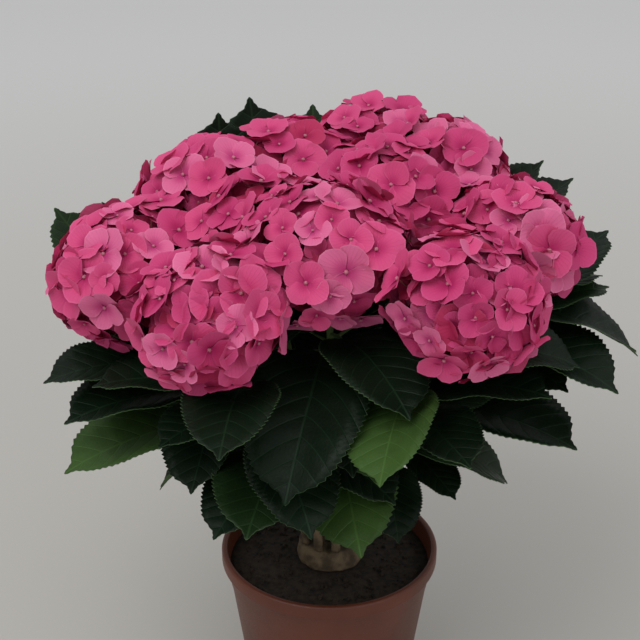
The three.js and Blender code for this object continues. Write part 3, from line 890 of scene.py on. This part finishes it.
class HYDRANGEA_OT_stems(bpy.types.Operator):
    """Make the green stems that carry the leaves, from the canes up into the blooms"""

    bl_idname = "hydrangea.stems"
    bl_label = "Green stems"

    def execute(self, context):
        limbs = context.scene.hydrangea_limbs
        green = mottled_material("stem_green", limbs.stem_colour, (1.25, 0.6), (60.0, 800.0), 0.5, 0.0002)
        stems = Gathering("green_stems", [green], "leaves")
        for shoot in SHOOTS:
            start, end = shoot["cane_end"] + SEAT_GAP, shoot["length"] - shoot["radius"] * STEM_SUNK
            stems.add(Template(limb_bmesh(shoot, limbs, start, end, STEM_RELIEF, shoot["number"])))
        stems.make()
        return {"FINISHED"}


# --- Leaves --------------------------------------------------------------------------------

YOUNG_LEAVES = 16
YOUNG_SIZES = (1.0, 0.72)
SIDE_VEINS = 8.0
VEIN_SLANT = 0.6
VEIN_ARCH = 1.5
BLADE_ROWS = 60
BLADE_COLUMNS = 6
TOOTH_OUT, TOOTH_IN = 0.030, -0.022
QUILT = 0.0026
YOUNG_TURN = 137.5
YOUNG_ROLL = 30
UNDER_VEINS = (0.14, 0.24, 0.10)
# Each tone of leaf: how much lighter its veins are, its roughness, and how strongly its veins show
LEAF_FINISHES = {"dark": (3.4, 0.40, 0.55), "green": (2.6, 0.42, 0.5), "light": (1.9, 0.44, 0.5)}


def blade_width(share):
    """Half the blade's width at a share of its length: round, with a short drawn-out tip."""
    body = math.sin(math.pi * share**0.9) ** 0.62 * (1.04 - 0.07 * share)
    drawn_out = 1 - 0.66 * math.exp(-(((share - 0.955) / 0.055) ** 2))
    return body * drawn_out * (1 - 0.6 * math.exp((share - 1) / 0.02))


def vein_distance(aside, along):
    phase = (along - aside * (VEIN_SLANT + VEIN_ARCH * aside)) * SIDE_VEINS
    return abs(phase - round(phase))


def blade_template(leaves, fold, wave, bow, key):
    """A toothed, quilted blade of length 1 that lies along +Y, as a closed thin sheet. The faces of
    its lower side and of its rim are of kind 1."""
    slender = leaves.slenderness

    def place(across, along):
        share = mix(0.010, 0.999, along)
        side = across * 2 - 1
        row = round(along * BLADE_ROWS)
        at_rim = abs(side) > 0.99
        tooth = (TOOTH_OUT if row % 2 else TOOTH_IN) if at_rim and 1 < row < BLADE_ROWS - 1 else 0.0
        half_width = slender * (blade_width(share) + tooth * min(1.0, (1 - share) / 0.1, share / 0.1))
        aside = abs(side) * half_width
        quilt = QUILT * math.sin(math.pi * vein_distance(aside, share)) * min(1.0, aside / 0.05)
        quilt *= min(1.0, (1 - share) * 5)
        lift = fold * math.sqrt(aside**2 + 0.0004) - fold * 0.02
        phase = math.tau * (2.3 * share + 0.31 * key) + (1.4 if side > 0 else 0)
        ripple = wave * math.sin(phase) * (aside / slender) ** 2
        forward = 0.009 if at_rim and row % 2 else 0.0
        sideways = bow * math.sin(math.pi * share * 0.9)
        across_blade = math.copysign(aside, side) + sideways
        return Vector((across_blade, share + forward * (1 - share), lift + quilt + ripple))

    bm = shaped_grid(BLADE_COLUMNS, BLADE_ROWS, place)
    bmesh.ops.remove_doubles(bm, verts=bm.verts, dist=1e-5)
    bmesh.ops.recalc_face_normals(bm, faces=bm.faces)
    if sum(face.normal.z for face in bm.faces) < 0:
        bmesh.ops.reverse_faces(bm, faces=bm.faces)
    bmesh.ops.solidify(bm, geom=bm.faces[:], thickness=leaves.thickness / leaves.length)
    bmesh.ops.recalc_face_normals(bm, faces=bm.faces)
    bow_at = lambda co: bow * math.sin(math.pi * min(1.0, max(0.0, co.y)) * 0.9)
    return Template(
        bm,
        uv_of=lambda co: (co.x - bow_at(co) + 0.5, co.y),
        kind_of=lambda face: 1 if face.normal.z < 0.35 else 0,
    )


def stalk_template(leaves):
    """A leaf stalk that runs on under the blade as its midrib, along +Y from 0 to 1."""
    thick = leaves.petiole_thickness

    def place(across, along):
        angle = math.tau * across
        slimming = 1.0 if along < 0.2 else mix(1.0, 0.25, (along - 0.2) / 0.8)
        radius = thick * (1.25 - 0.4 * min(1.0, along * 4)) * slimming
        sink = (radius + 0.0005) * min(1.0, max(0.0, (along - 0.10) / 0.10))
        return Vector((math.cos(angle) * radius, along, math.sin(angle) * radius - sink))

    return Template(tube(8, 14, place))


def set_along(pose, petiole, points, scale):
    """Bends a template onto a leaf's arc: across, along and above it, in metres after scale."""
    total = petiole + pose["length"]
    outward = heading(pose["azimuth"])
    across = np.cross(outward, UP)
    bend, rise = math.radians(-pose["droop"]), math.radians(pose["rise"])
    along = scale["start"] + points[:, 1] * scale["length"]
    half = bend * along / total / 2
    chord = along * np.sinc(half / math.pi)
    spine = np.outer(chord * np.cos(rise + half), outward) + np.outer(chord * np.sin(rise + half), UP)
    angle = rise + bend * along / total
    normal = np.outer(-np.sin(angle), outward) + np.outer(np.cos(angle), UP)
    forward = np.cross(normal, across)
    cos_roll, sin_roll = math.cos(pose["roll"]), math.sin(pose["roll"])
    rolled_normal = normal * cos_roll + np.cross(forward, normal) * sin_roll
    rolled_side = across * cos_roll + np.cross(forward, across) * sin_roll
    aside = points[:, 0:1] * scale["width"]
    above = points[:, 2:3] * scale["width"]
    return pose["root"] + spine + rolled_side * aside + rolled_normal * above


def tip_of(pose, petiole):
    return set_along(pose, petiole, np.array([[0.0, 1.0, 0.0]]), {
        "start": petiole, "length": pose["length"], "width": pose["length"]})[0]


def swings():
    """The turns that a leaf tries, one after the other: 0, -10, 10, -20 degrees and so on."""
    return [LEAF_SWING * math.ceil(rank / 2) * (1 if rank % 2 == 0 else -1) for rank in range(LEAF_SWINGS)]


def tries(wish):
    """The ways that a leaf can stand, in the order that it tries them."""
    return [
        {**wish, "azimuth": wish["azimuth"] + swing, "rise": wish["rise"] + lift,
         "length": wish["length"] * (1 - EFFORT_COST * effort)}
        for effort, lift in enumerate(LEAF_LIFTS) for swing in swings()
    ]


def lead_poses(shoot, lead, leaves):
    start, droop, tip = lead[:3]
    along = mix(shoot["cane_end"] + LEAD_MARGIN, shoot["stem_end"] - LEAD_MARGIN, start)
    root = shoot["line"].point(along)
    span = np.array(tip) - root
    reach = np.linalg.norm(span)
    half = math.radians(droop) / 2
    return tries({
        "root": root, "azimuth": math.degrees(math.atan2(span[1], span[0])),
        "rise": math.degrees(math.asin(span[2] / reach)) + droop / 2, "droop": droop, "roll": 0.0,
        "length": reach * half / math.sin(half) - leaves.petiole,
    })


def pair_poses(shoot, pair, side, leaves):
    number, share = shoot["number"], (pair + 0.5) / shoot["pairs"]
    slack = LEAF_DROOP * (1 - UPRIGHT_CURL * share * (1 - shoot["reach"] / WIDEST_REACH))
    along = mix(shoot["cane_end"] + FIRST_PAIR, shoot["stem_end"] - LAST_PAIR, share)
    spread = TURN_SPREAD * (chance(number, pair, 5) - 0.5)
    turn = PAIR_TURN + 90 * pair + 180 * side + spread
    facing_out = 0.5 + 0.5 * math.cos(math.radians(turn))
    vigour = mix(0.88, 1.08, chance(number, pair, 6 + side))
    return tries({
        "root": shoot["line"].point(along), "azimuth": shoot["azimuth"] + turn,
        "rise": mix(LOW_RISE, TOP_RISE, share),
        "droop": slack * mix(0.8, 1.15, chance(number, pair, 8 + side)),
        "roll": math.radians(ROLL_SPREAD) * (chance(number, pair, 10 + side) - 0.5),
        "length": mix(leaves.inward_length, leaves.length, facing_out) * vigour,
    })


def packed_pose(node, poses, petiole):
    """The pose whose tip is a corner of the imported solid, or None if that leaf found no room."""
    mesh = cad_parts[node].data
    corners = np.array([vertex.co for vertex in mesh.vertices])
    for pose in poses:
        if np.linalg.norm(corners - tip_of(pose, petiole), axis=1).min() < TIP_MATCH:
            return pose
    return None


def packed_tree(node):
    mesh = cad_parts[node].data
    faces = [tuple(face.vertices) for face in mesh.polygons]
    return BVHTree.FromPolygons([vertex.co for vertex in mesh.vertices], faces)


def grown_leaves(leaves):
    """(pose, tone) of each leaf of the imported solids."""
    found = []
    for shoot in SHOOTS:
        node = "leaves_" + shoot["name"]
        for lead in shoot.get("leads", ()):
            tone = lead[3] if len(lead) > 3 else "dark"
            found.append((packed_pose(node, lead_poses(shoot, lead, leaves), leaves.petiole), tone))
        for pair in range(shoot["pairs"]):
            for side in (0, 1):
                pose = packed_pose(node, pair_poses(shoot, pair, side, leaves), leaves.petiole)
                draw = chance(shoot["number"], pair, 41 + side)
                tone = "light" if draw > 0.965 else "dark" if draw < 0.55 else "green"
                if pose:
                    pose["roll"] += math.radians(shoot.get("rolls", {}).get((pair, side), 0))
                found.append((pose, shoot.get("tones", {}).get((pair, side), tone)))
    return [(pose, tone) for pose, tone in found if pose is not None]


# Leaves that show only behind the blooms: the shoot, how far up its leafy stem each one starts, how
# many degrees it droops, and where its tip points.
LATE_LEADS = (
    ("upper_left", 1, -60, (-0.114, 0.120, 0.633)),
    ("upper_mid", 1, -60, (-0.019, 0.205, 0.618)),
    ("upper_right", 1, -30, (0.220, 0.105, 0.587)),
    ("left", 1, -15, (-0.271, 0.030, 0.563)),
    ("right", 1, -10, (0.281, 0.055, 0.530)),
    ("right", 0.9, 10, (0.283, 0.030, 0.478)),
)


def late_leaves(leaves):
    named = {shoot["name"]: shoot for shoot in SHOOTS}
    return [lead_poses(named[name], lead, leaves)[0] for name, *lead in LATE_LEADS]


def young_leaves(shoot):
    """Small leaves close under a bloom and between the pairs, which fill the crown."""
    poses = []
    for key in range(YOUNG_LEAVES):
        share = mix(0.35, 1.0, (key + 0.5) / YOUNG_LEAVES)
        along = mix(shoot["cane_end"], shoot["stem_end"] - 0.004, share)
        azimuth = shoot["azimuth"] + YOUNG_TURN * key + 90 * chance(shoot["number"], key, 31)
        poses.append({
            "root": shoot["line"].point(along), "azimuth": azimuth,
            "rise": mix(8, 34, chance(shoot["number"], key, 32)),
            "droop": mix(20, 60, chance(shoot["number"], key, 33)),
            "roll": math.radians(YOUNG_ROLL) * (chance(shoot["number"], key, 34) - 0.5),
            "length": mix(0.055, 0.098, chance(shoot["number"], key, 35)),
        })
    return poses


class HYDRANGEA_OT_leaves(bpy.types.Operator):
    """Grow the toothed leaves on their stalks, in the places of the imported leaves"""

    bl_idname = "hydrangea.leaves"
    bl_label = "Leaves"

    def execute(self, context):
        leaves = context.scene.hydrangea_leaves
        limbs = context.scene.hydrangea_limbs
        under = leaf_material("leaf_underside", leaves.underside, UNDER_VEINS, 0.62, 0.8, 0.0006)
        blades = {}
        for tone, (vein_gain, roughness, vein_share) in LEAF_FINISHES.items():
            colour = getattr(leaves, tone)
            veins = tuple(channel * vein_gain for channel in colour)
            top = leaf_material("leaf_" + tone, colour, veins, roughness, vein_share, 0.0007)
            blades[tone] = Gathering("leaf_blades_" + tone, [top, under], "leaves")
        blades["green"].replaced = nodes_named("leaves_")
        shapes = [
            blade_template(leaves, leaves.fold, 0.012, 0.00, 0),
            blade_template(leaves, leaves.fold * 0.8, 0.020, 0.02, 1),
            blade_template(leaves, leaves.fold * 1.15, 0.016, -0.025, 2),
        ]
        stalk_skin = mottled_material("leaf_stalk", limbs.stem_colour, (1.3, 0.8), (60.0, 800.0), 0.5, 0.0001)
        stalks = Gathering("leaf_stalks", [stalk_skin], "leaves")
        stalk = stalk_template(leaves)
        self.taken = [packed_tree(name) for name in nodes_named("bloom_")]
        for count, (pose, tone) in enumerate(grown_leaves(leaves)):
            self.grow(leaves, blades[tone], shapes[count % 3], stalks, stalk, pose)
        for count, pose in enumerate(late_leaves(leaves)):
            tone = "green" if count % 2 else "dark"
            self.grow(leaves, blades[tone], shapes[count % 3], stalks, stalk, pose)
        for shoot in SHOOTS:
            for count, pose in enumerate(young_leaves(shoot)):
                tone = "green" if chance(shoot["number"], count, 42) > 0.7 else "dark"
                for size in YOUNG_SIZES:
                    sized = {**pose, "length": pose["length"] * size}
                    if self.grow(leaves, blades[tone], shapes[count % 3], stalks, stalk, sized, young=True):
                        break
        for gathering in blades.values():
            gathering.make()
        stalks.make()
        return {"FINISHED"}

    def grow(self, leaves, blades, shape, stalks, stalk, pose, young=False):
        """Adds a leaf, unless it is a young one that would cut a bloom or a leaf before it, and
        tells whether it did."""
        petiole = leaves.petiole
        blade_scale = {"start": petiole, "length": pose["length"], "width": pose["length"]}
        points = set_along(pose, petiole, shape.points, blade_scale)
        sheet = BVHTree.FromPolygons([Vector(point) for point in points], shape.faces)
        if young and any(sheet.overlap(other) for other in self.taken):
            return False
        self.taken.append(sheet)
        blades.add(shape, points)
        share = pose["length"] / leaves.length
        run = petiole + pose["length"] * 0.86
        stalk_scale = {"start": 0.0, "length": run, "width": mix(0.6, 1.0, min(1.0, share))}
        stalks.add(stalk, set_along(pose, petiole, stalk.points, stalk_scale))
        return True


# --- Blooms --------------------------------------------------------------------------------

BLOOM_FLATTENING = 0.12
SQUASH = 1 / (1 - BLOOM_FLATTENING) - 1
SURFACE_STEPS = 16
SLOPE_STEP = 1 * MM
BORDER_SLACK = 3 * MM
MIDDLING_RADIUS = 65 * MM
PETAL_COLUMNS, PETAL_ROWS = 6, 4
PETALS = 4
INNER_SIZE = 0.92
OUTER_WOBBLE, INNER_WOBBLE = 0.55, 0.5
INNER_FIRST_KEY = 500
EYE_RADIUS, EYE_SQUASH, EYE_HEIGHT = 0.094, 0.8, 0.07
RAY_THICKNESS = 1.1 * MM
MIDDLES = np.array([shoot["middle"] for shoot in SHOOTS])
AXES = np.array([shoot["axis"] for shoot in SHOOTS])
RADII = np.array([shoot["radius"] for shoot in SHOOTS])


def ball_distances(points):
    """How far each point lies outside each bloom's flattened ball."""
    spans = points[:, None, :] - MIDDLES
    heights = np.einsum("psk,sk->ps", spans, AXES)
    return np.linalg.norm(spans + AXES * heights[..., None] * SQUASH, axis=2) - RADII


def crown_distance(points, fill):
    """How far each point lies outside the blooms as one mass, whose creases are softly filled."""
    return -fill * np.log(np.exp(-ball_distances(points) / fill).sum(axis=1))


def crown_surface(shoot, directions, inset, fill):
    """Points at a depth under the surface of the mass, out from a bloom's middle, and which of them
    are that bloom's own."""
    near = np.full(len(directions), 0.4 * shoot["radius"])
    far = np.full(len(directions), 1.5 * shoot["radius"])
    for _ in range(SURFACE_STEPS):
        halfway = (near + far) / 2
        inside = crown_distance(shoot["middle"] + directions * halfway[:, None], fill) < -inset
        near, far = np.where(inside, halfway, near), np.where(inside, far, halfway)
    points = shoot["middle"] + directions * near[:, None]
    distances = ball_distances(points)
    own = distances[:, shoot["number"]].copy()
    distances[:, shoot["number"]] = np.inf
    return points, own < distances.min(axis=1) + BORDER_SLACK


def crown_slopes(points, fill):
    """The way out of the mass at each point."""
    steps = np.eye(3) * SLOPE_STEP
    rises = [crown_distance(points + step, fill) - crown_distance(points - step, fill) for step in steps]
    slopes = np.stack(rises, axis=1)
    return slopes / np.linalg.norm(slopes, axis=1, keepdims=True)


def petal_grid(cup, tip, wave, lean, breadth, key):
    """One petal of length 1 that spreads from the middle along +Y: a broad fan with a soft point."""

    def place(across, along):
        side = across * 2 - 1
        reach = mix(0.05, 1.0, along)
        angle = math.radians(side * (breadth + 15 * math.sin(math.pi * along**1.2)))
        outline = 1 - 0.17 * abs(side) ** 2.6 + 0.06 * max(0.0, 1 - abs(side) * 2.2)
        radius = reach * outline
        height = cup * (radius**2 * 0.5 + 0.30 * side**2 * along) - tip * along**4
        height += wave * math.sin(math.tau * (side * 0.9 + 0.37 * key)) * along**2
        point = Vector((math.sin(angle) * radius, math.cos(angle) * radius, height))
        return Matrix.Rotation(lean, 3, "X") @ point

    template = Template(shaped_grid(PETAL_COLUMNS, PETAL_ROWS, place))
    along, across = np.divmod(template.corners, PETAL_COLUMNS + 1)
    template.uvs = np.stack([across / PETAL_COLUMNS, along / PETAL_ROWS], axis=1)
    return template


def turn_from_up(axis):
    return np.array(Vector((0, 0, 1)).rotation_difference(Vector(axis)).to_matrix())


def floret_template(key):
    """Four overlapping petals round a middle, one pair over the other."""
    whole = None
    opening = math.radians(mix(2, 20, chance(key, 9, 49)))
    breadth = mix(40, 57, chance(key, 9, 48))
    for petal in range(PETALS):
        draw = lambda item: chance(key, petal, 50 + item)
        lean = opening + math.radians(mix(-3, 5, draw(0)))
        cup, tip, wave = mix(0.04, 0.34, draw(1)), mix(-0.03, 0.17, draw(2)), mix(0.02, 0.065, draw(3))
        shape = petal_grid(cup, tip, wave, lean, breadth, key + petal)
        points = shape.points * mix(0.88, 1.04, draw(4))
        points[:, 2] += 0.04 if petal % 2 else 0.0
        points = turned(points, (0.0, 1.0, 0.0), math.radians(mix(-4, 6, draw(6))))
        twist = math.radians(mix(-7, 7, draw(5)))
        shape.points = turned(points, (0.0, 0.0, 1.0), petal * math.pi / 2 + twist)
        if whole:
            whole.take_in(shape)
        else:
            whole = shape
    return whole


class Layer:
    """One layer of florets: how many a full ball has, how deep they sit, their size and their slant."""

    def __init__(self, florets, inset, size, wobble, tones):
        self.florets, self.inset, self.size, self.wobble, self.tones = florets, inset, size, wobble, tones


def bloom_florets(shoot, blooms, layer, first_key):
    """(centre, facing, size, key) of each floret of one layer of a bloom."""
    number, radius = shoot["number"], shoot["radius"]
    total = round(layer.florets * (radius / MIDDLING_RADIUS) ** 1.3)
    keys = [key for key in range(total) if math.acos(1 - 2 * (key + 0.5) / total) < blooms.cover]
    directions = []
    for key in keys:
        polar = math.acos(1 - 2 * (key + 0.5) / total) + 0.08 * (chance(number, key + first_key, 11) - 0.5)
        azimuth = key * GOLDEN + 0.16 * (chance(number, key + first_key, 12) - 0.5)
        directions.append(heading(math.degrees(azimuth)) * math.sin(polar) + UP * math.cos(polar))
    directions = np.array(directions) @ turn_from_up(shoot["axis"]).T
    points, own = crown_surface(shoot, directions, layer.inset, blooms.crease_fill)
    slopes = crown_slopes(points, blooms.crease_fill)
    found = []
    for rank, key in enumerate(keys):
        if not own[rank]:
            continue
        name = key + first_key
        size = MIDDLING_RADIUS * layer.size * (1 + blooms.size_spread * (chance(number, name, 13) - 0.5))
        wobble = np.array([chance(number, name, axis) - 0.5 for axis in (1, 2, 3)])
        facing = unit(slopes[rank] * 0.65 + directions[rank] * 0.35 + wobble * layer.wobble)
        centre = points[rank] - slopes[rank] * blooms.unevenness * chance(number, name, 14) ** 2
        found.append((centre, facing, size, name))
    return found


class HYDRANGEA_OT_blooms(bpy.types.Operator):
    """Fill every bloom with its florets, their eyes and the stalks that carry them"""

    bl_idname = "hydrangea.blooms"
    bl_label = "Blooms"

    SHAPES = 9
    TONES = ("pale", "pink", "rose", "deep")
    OUTER_TONES = (("pale", 0.20), ("pink", 0.66), ("rose", 0.98), ("deep", 1.0))
    # The inner florets are dealt the darker tones as painted shade, since they sit under the outer layer.
    INNER_SHADE_TONES = (("rose", 0.22), ("deep", 1.0))

    def execute(self, context):
        blooms = context.scene.hydrangea_blooms
        petals = {}
        for tone in self.TONES:
            skin = petal_material("petal_" + tone, getattr(blooms, tone))
            petals[tone] = Gathering("petals_" + tone, [skin], "petals")
        petals["pink"].replaced = nodes_named("bloom_")
        eye_pink = mottled_material("floret_eye", blooms.eye_colour, (1.2, 0.7), (900.0, 2400.0), 0.5, 0.0001)
        ray_red = mottled_material("flower_stalk", blooms.ray_colour, (1.3, 0.6), (120.0, 900.0), 0.6, 0.0001)
        eyes = Gathering("floret_eyes", [eye_pink], "petals")
        rays = Gathering("flower_stalks", [ray_red], "petals")
        shapes = [floret_template(key) for key in range(self.SHAPES)]
        eye = self.eye_template()
        ray = self.ray_template()
        whole = blooms.floret_size
        outer = Layer(blooms.florets, blooms.inset, whole, OUTER_WOBBLE, self.OUTER_TONES)
        inner = Layer(
            blooms.inner_florets, blooms.inner_inset, whole * INNER_SIZE, INNER_WOBBLE, self.INNER_SHADE_TONES
        )
        for shoot in SHOOTS:
            base = shoot["middle"] - shoot["axis"] * shoot["radius"] * 0.5
            for layer, first_key in ((outer, 0), (inner, INNER_FIRST_KEY)):
                for centre, facing, size, key in bloom_florets(shoot, blooms, layer, first_key):
                    side = unit(np.cross(facing, UP) + 1e-6)
                    side = turned(side, facing, chance(shoot["number"], key, 4) * math.pi)
                    axes = np.array([side, np.cross(facing, side), facing])
                    draw = chance(shoot["number"], key, 15)
                    tone = next(name for name, limit in layer.tones if draw <= limit)
                    shape = shapes[int(chance(shoot["number"], key, 16) * len(shapes))]
                    petals[tone].add(shape, shape.points @ axes * size + centre)
                    eyes.add(eye, eye.points @ axes * size + centre)
                    rays.add(ray, self.ray_points(ray, base, centre))
        for gathering in (*petals.values(), eyes, rays):
            gathering.make()
        return {"FINISHED"}

    def eye_template(self):
        """The bead in a floret's middle."""
        bm = bmesh.new()
        bmesh.ops.create_icosphere(bm, subdivisions=1, radius=EYE_RADIUS)
        bmesh.ops.scale(bm, vec=(1, 1, EYE_SQUASH), verts=bm.verts)
        bmesh.ops.translate(bm, vec=(0, 0, EYE_HEIGHT), verts=bm.verts)
        return Template(bm)

    def ray_template(self):
        """A thin stalk from 0 to 1 along +Z."""
        bm = bmesh.new()
        bmesh.ops.create_cone(bm, cap_ends=False, segments=4, radius1=1.0, radius2=0.7, depth=1.0)
        bmesh.ops.translate(bm, vec=(0, 0, 0.5), verts=bm.verts)
        return Template(bm)

    def ray_points(self, ray, start, end):
        span = end - start
        points = ray.points * np.array([RAY_THICKNESS, RAY_THICKNESS, np.linalg.norm(span)])
        return points @ turn_from_up(span).T + start


# --- Stage ---------------------------------------------------------------------------------


class HYDRANGEA_OT_stage(bpy.types.Operator):
    """Set up the pale floor, the soft studio light and the camera"""

    bl_idname = "hydrangea.stage"
    bl_label = "Floor, light and camera"

    TARGET = Vector((-0.010, 0.0, 0.455))
    FLOOR_HALF = 9.0
    # How far from the pot's axis the painted shade on the floor is full, and where it has faded out.
    NEAR_FLOOR, FAR_FLOOR = 0.3, 3.2

    def execute(self, context):
        stage = context.scene.hydrangea_stage
        bm = bmesh.new()
        bmesh.ops.create_grid(bm, x_segments=1, y_segments=1, size=self.FLOOR_HALF)
        mesh = bpy.data.meshes.new("studio_floor")
        bm.to_mesh(mesh)
        bm.free()
        floor = bpy.data.objects.new("studio_floor", mesh)
        context.scene.collection.objects.link(floor)
        material, wiring, shader = surface("floor_paint", 0.9)
        # The floor darkens towards the pot: painted shade round its foot.
        reach = wiring.node("ShaderNodeVectorMath", {0: object_place(wiring)}, operation="LENGTH")
        out_of_shade = wiring.ramp(reach.outputs["Value"], self.NEAR_FLOOR, self.FAR_FLOOR)
        paint = wiring.blend(out_of_shade, rgba(stage.floor_shade_colour), rgba(stage.floor_colour))
        wiring.tree.links.new(paint, shader.inputs["Base Color"])
        shader.inputs["Specular IOR Level"].default_value = 0.1
        mesh.materials.append(material)
        world = bpy.data.worlds.new("studio")
        world.use_nodes = True
        wiring = Wiring(world.node_tree)
        shell = world.node_tree.nodes["Background"]
        direction = wiring.node("ShaderNodeTexCoord").outputs["Generated"]
        way = wiring.node("ShaderNodeSeparateXYZ", {0: direction})
        overhead = wiring.ramp(way.outputs["Z"], 0.0, 1.0)
        glow = wiring.blend(overhead, rgba(stage.side_light), rgba(stage.sky_colour))
        seen = wiring.node("ShaderNodeLightPath").outputs["Is Camera Ray"]
        wiring.tree.links.new(wiring.blend(seen, glow, rgba(stage.backdrop_colour)), shell.inputs["Color"])
        context.scene.world = world
        self.lamp(context, "key_light", (-0.9, -1.3, 2.4), 1.6, 25.0)
        self.lamp(context, "fill_light", (1.5, -1.6, 1.4), 1.4, 5.0)
        camera = bpy.data.objects.new("camera", bpy.data.cameras.new("camera"))
        context.scene.collection.objects.link(camera)
        camera.data.lens = stage.camera_lens
        camera.data.sensor_width = 36.0
        pitch = stage.camera_height
        back = Vector((0.0, -math.cos(pitch), math.sin(pitch)))
        camera.location = self.TARGET + back * stage.camera_distance
        camera.rotation_euler = (-back).to_track_quat("-Z", "Y").to_euler()
        context.scene.camera = camera
        context.scene.view_settings.view_transform = "Standard"
        return {"FINISHED"}

    def lamp(self, context, name, place, size, power):
        light = bpy.data.lights.new(name, "AREA")
        light.size, light.energy = size, power
        lamp = bpy.data.objects.new(name, light)
        lamp.location = place
        lamp.rotation_euler = (self.TARGET - Vector(place)).to_track_quat("-Z", "Y").to_euler()
        context.scene.collection.objects.link(lamp)


# --- Sidebar and run -----------------------------------------------------------------------

OPERATORS = (
    HYDRANGEA_OT_stage,
    HYDRANGEA_OT_pot,
    HYDRANGEA_OT_soil,
    HYDRANGEA_OT_wood,
    HYDRANGEA_OT_stems,
    HYDRANGEA_OT_leaves,
    HYDRANGEA_OT_blooms,
)
SETTINGS = (
    ("hydrangea_pot", PotSettings),
    ("hydrangea_limbs", LimbSettings),
    ("hydrangea_leaves", LeafSettings),
    ("hydrangea_blooms", BloomSettings),
    ("hydrangea_stage", StageSettings),
)


class HYDRANGEA_PT_panel(bpy.types.Panel):
    """The pieces of the plant, in the order that they are made"""

    bl_label = "Hydrangea"
    bl_idname = "HYDRANGEA_PT_panel"
    bl_space_type = "VIEW_3D"
    bl_region_type = "UI"
    bl_category = "Hydrangea"

    def draw(self, context):
        for operator in OPERATORS:
            self.layout.operator(operator.bl_idname)
        for name, group in SETTINGS:
            box = self.layout.box()
            for item in group.__annotations__:
                box.prop(getattr(context.scene, name), item)


def register():
    for name, group in SETTINGS:
        bpy.utils.register_class(group)
        setattr(bpy.types.Scene, name, PointerProperty(type=group))
    for operator in OPERATORS:
        bpy.utils.register_class(operator)
    bpy.utils.register_class(HYDRANGEA_PT_panel)


def unregister():
    bpy.utils.unregister_class(HYDRANGEA_PT_panel)
    for operator in reversed(OPERATORS):
        bpy.utils.unregister_class(operator)
    for name, group in reversed(SETTINGS):
        delattr(bpy.types.Scene, name)
        bpy.utils.unregister_class(group)


def main():
    register()
    bpy.ops.hydrangea.stage()
    bpy.ops.hydrangea.pot()
    bpy.ops.hydrangea.soil()
    bpy.ops.hydrangea.wood()
    bpy.ops.hydrangea.stems()
    bpy.ops.hydrangea.leaves()
    bpy.ops.hydrangea.blooms()
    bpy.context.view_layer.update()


if __name__ == "__main__":
    main()
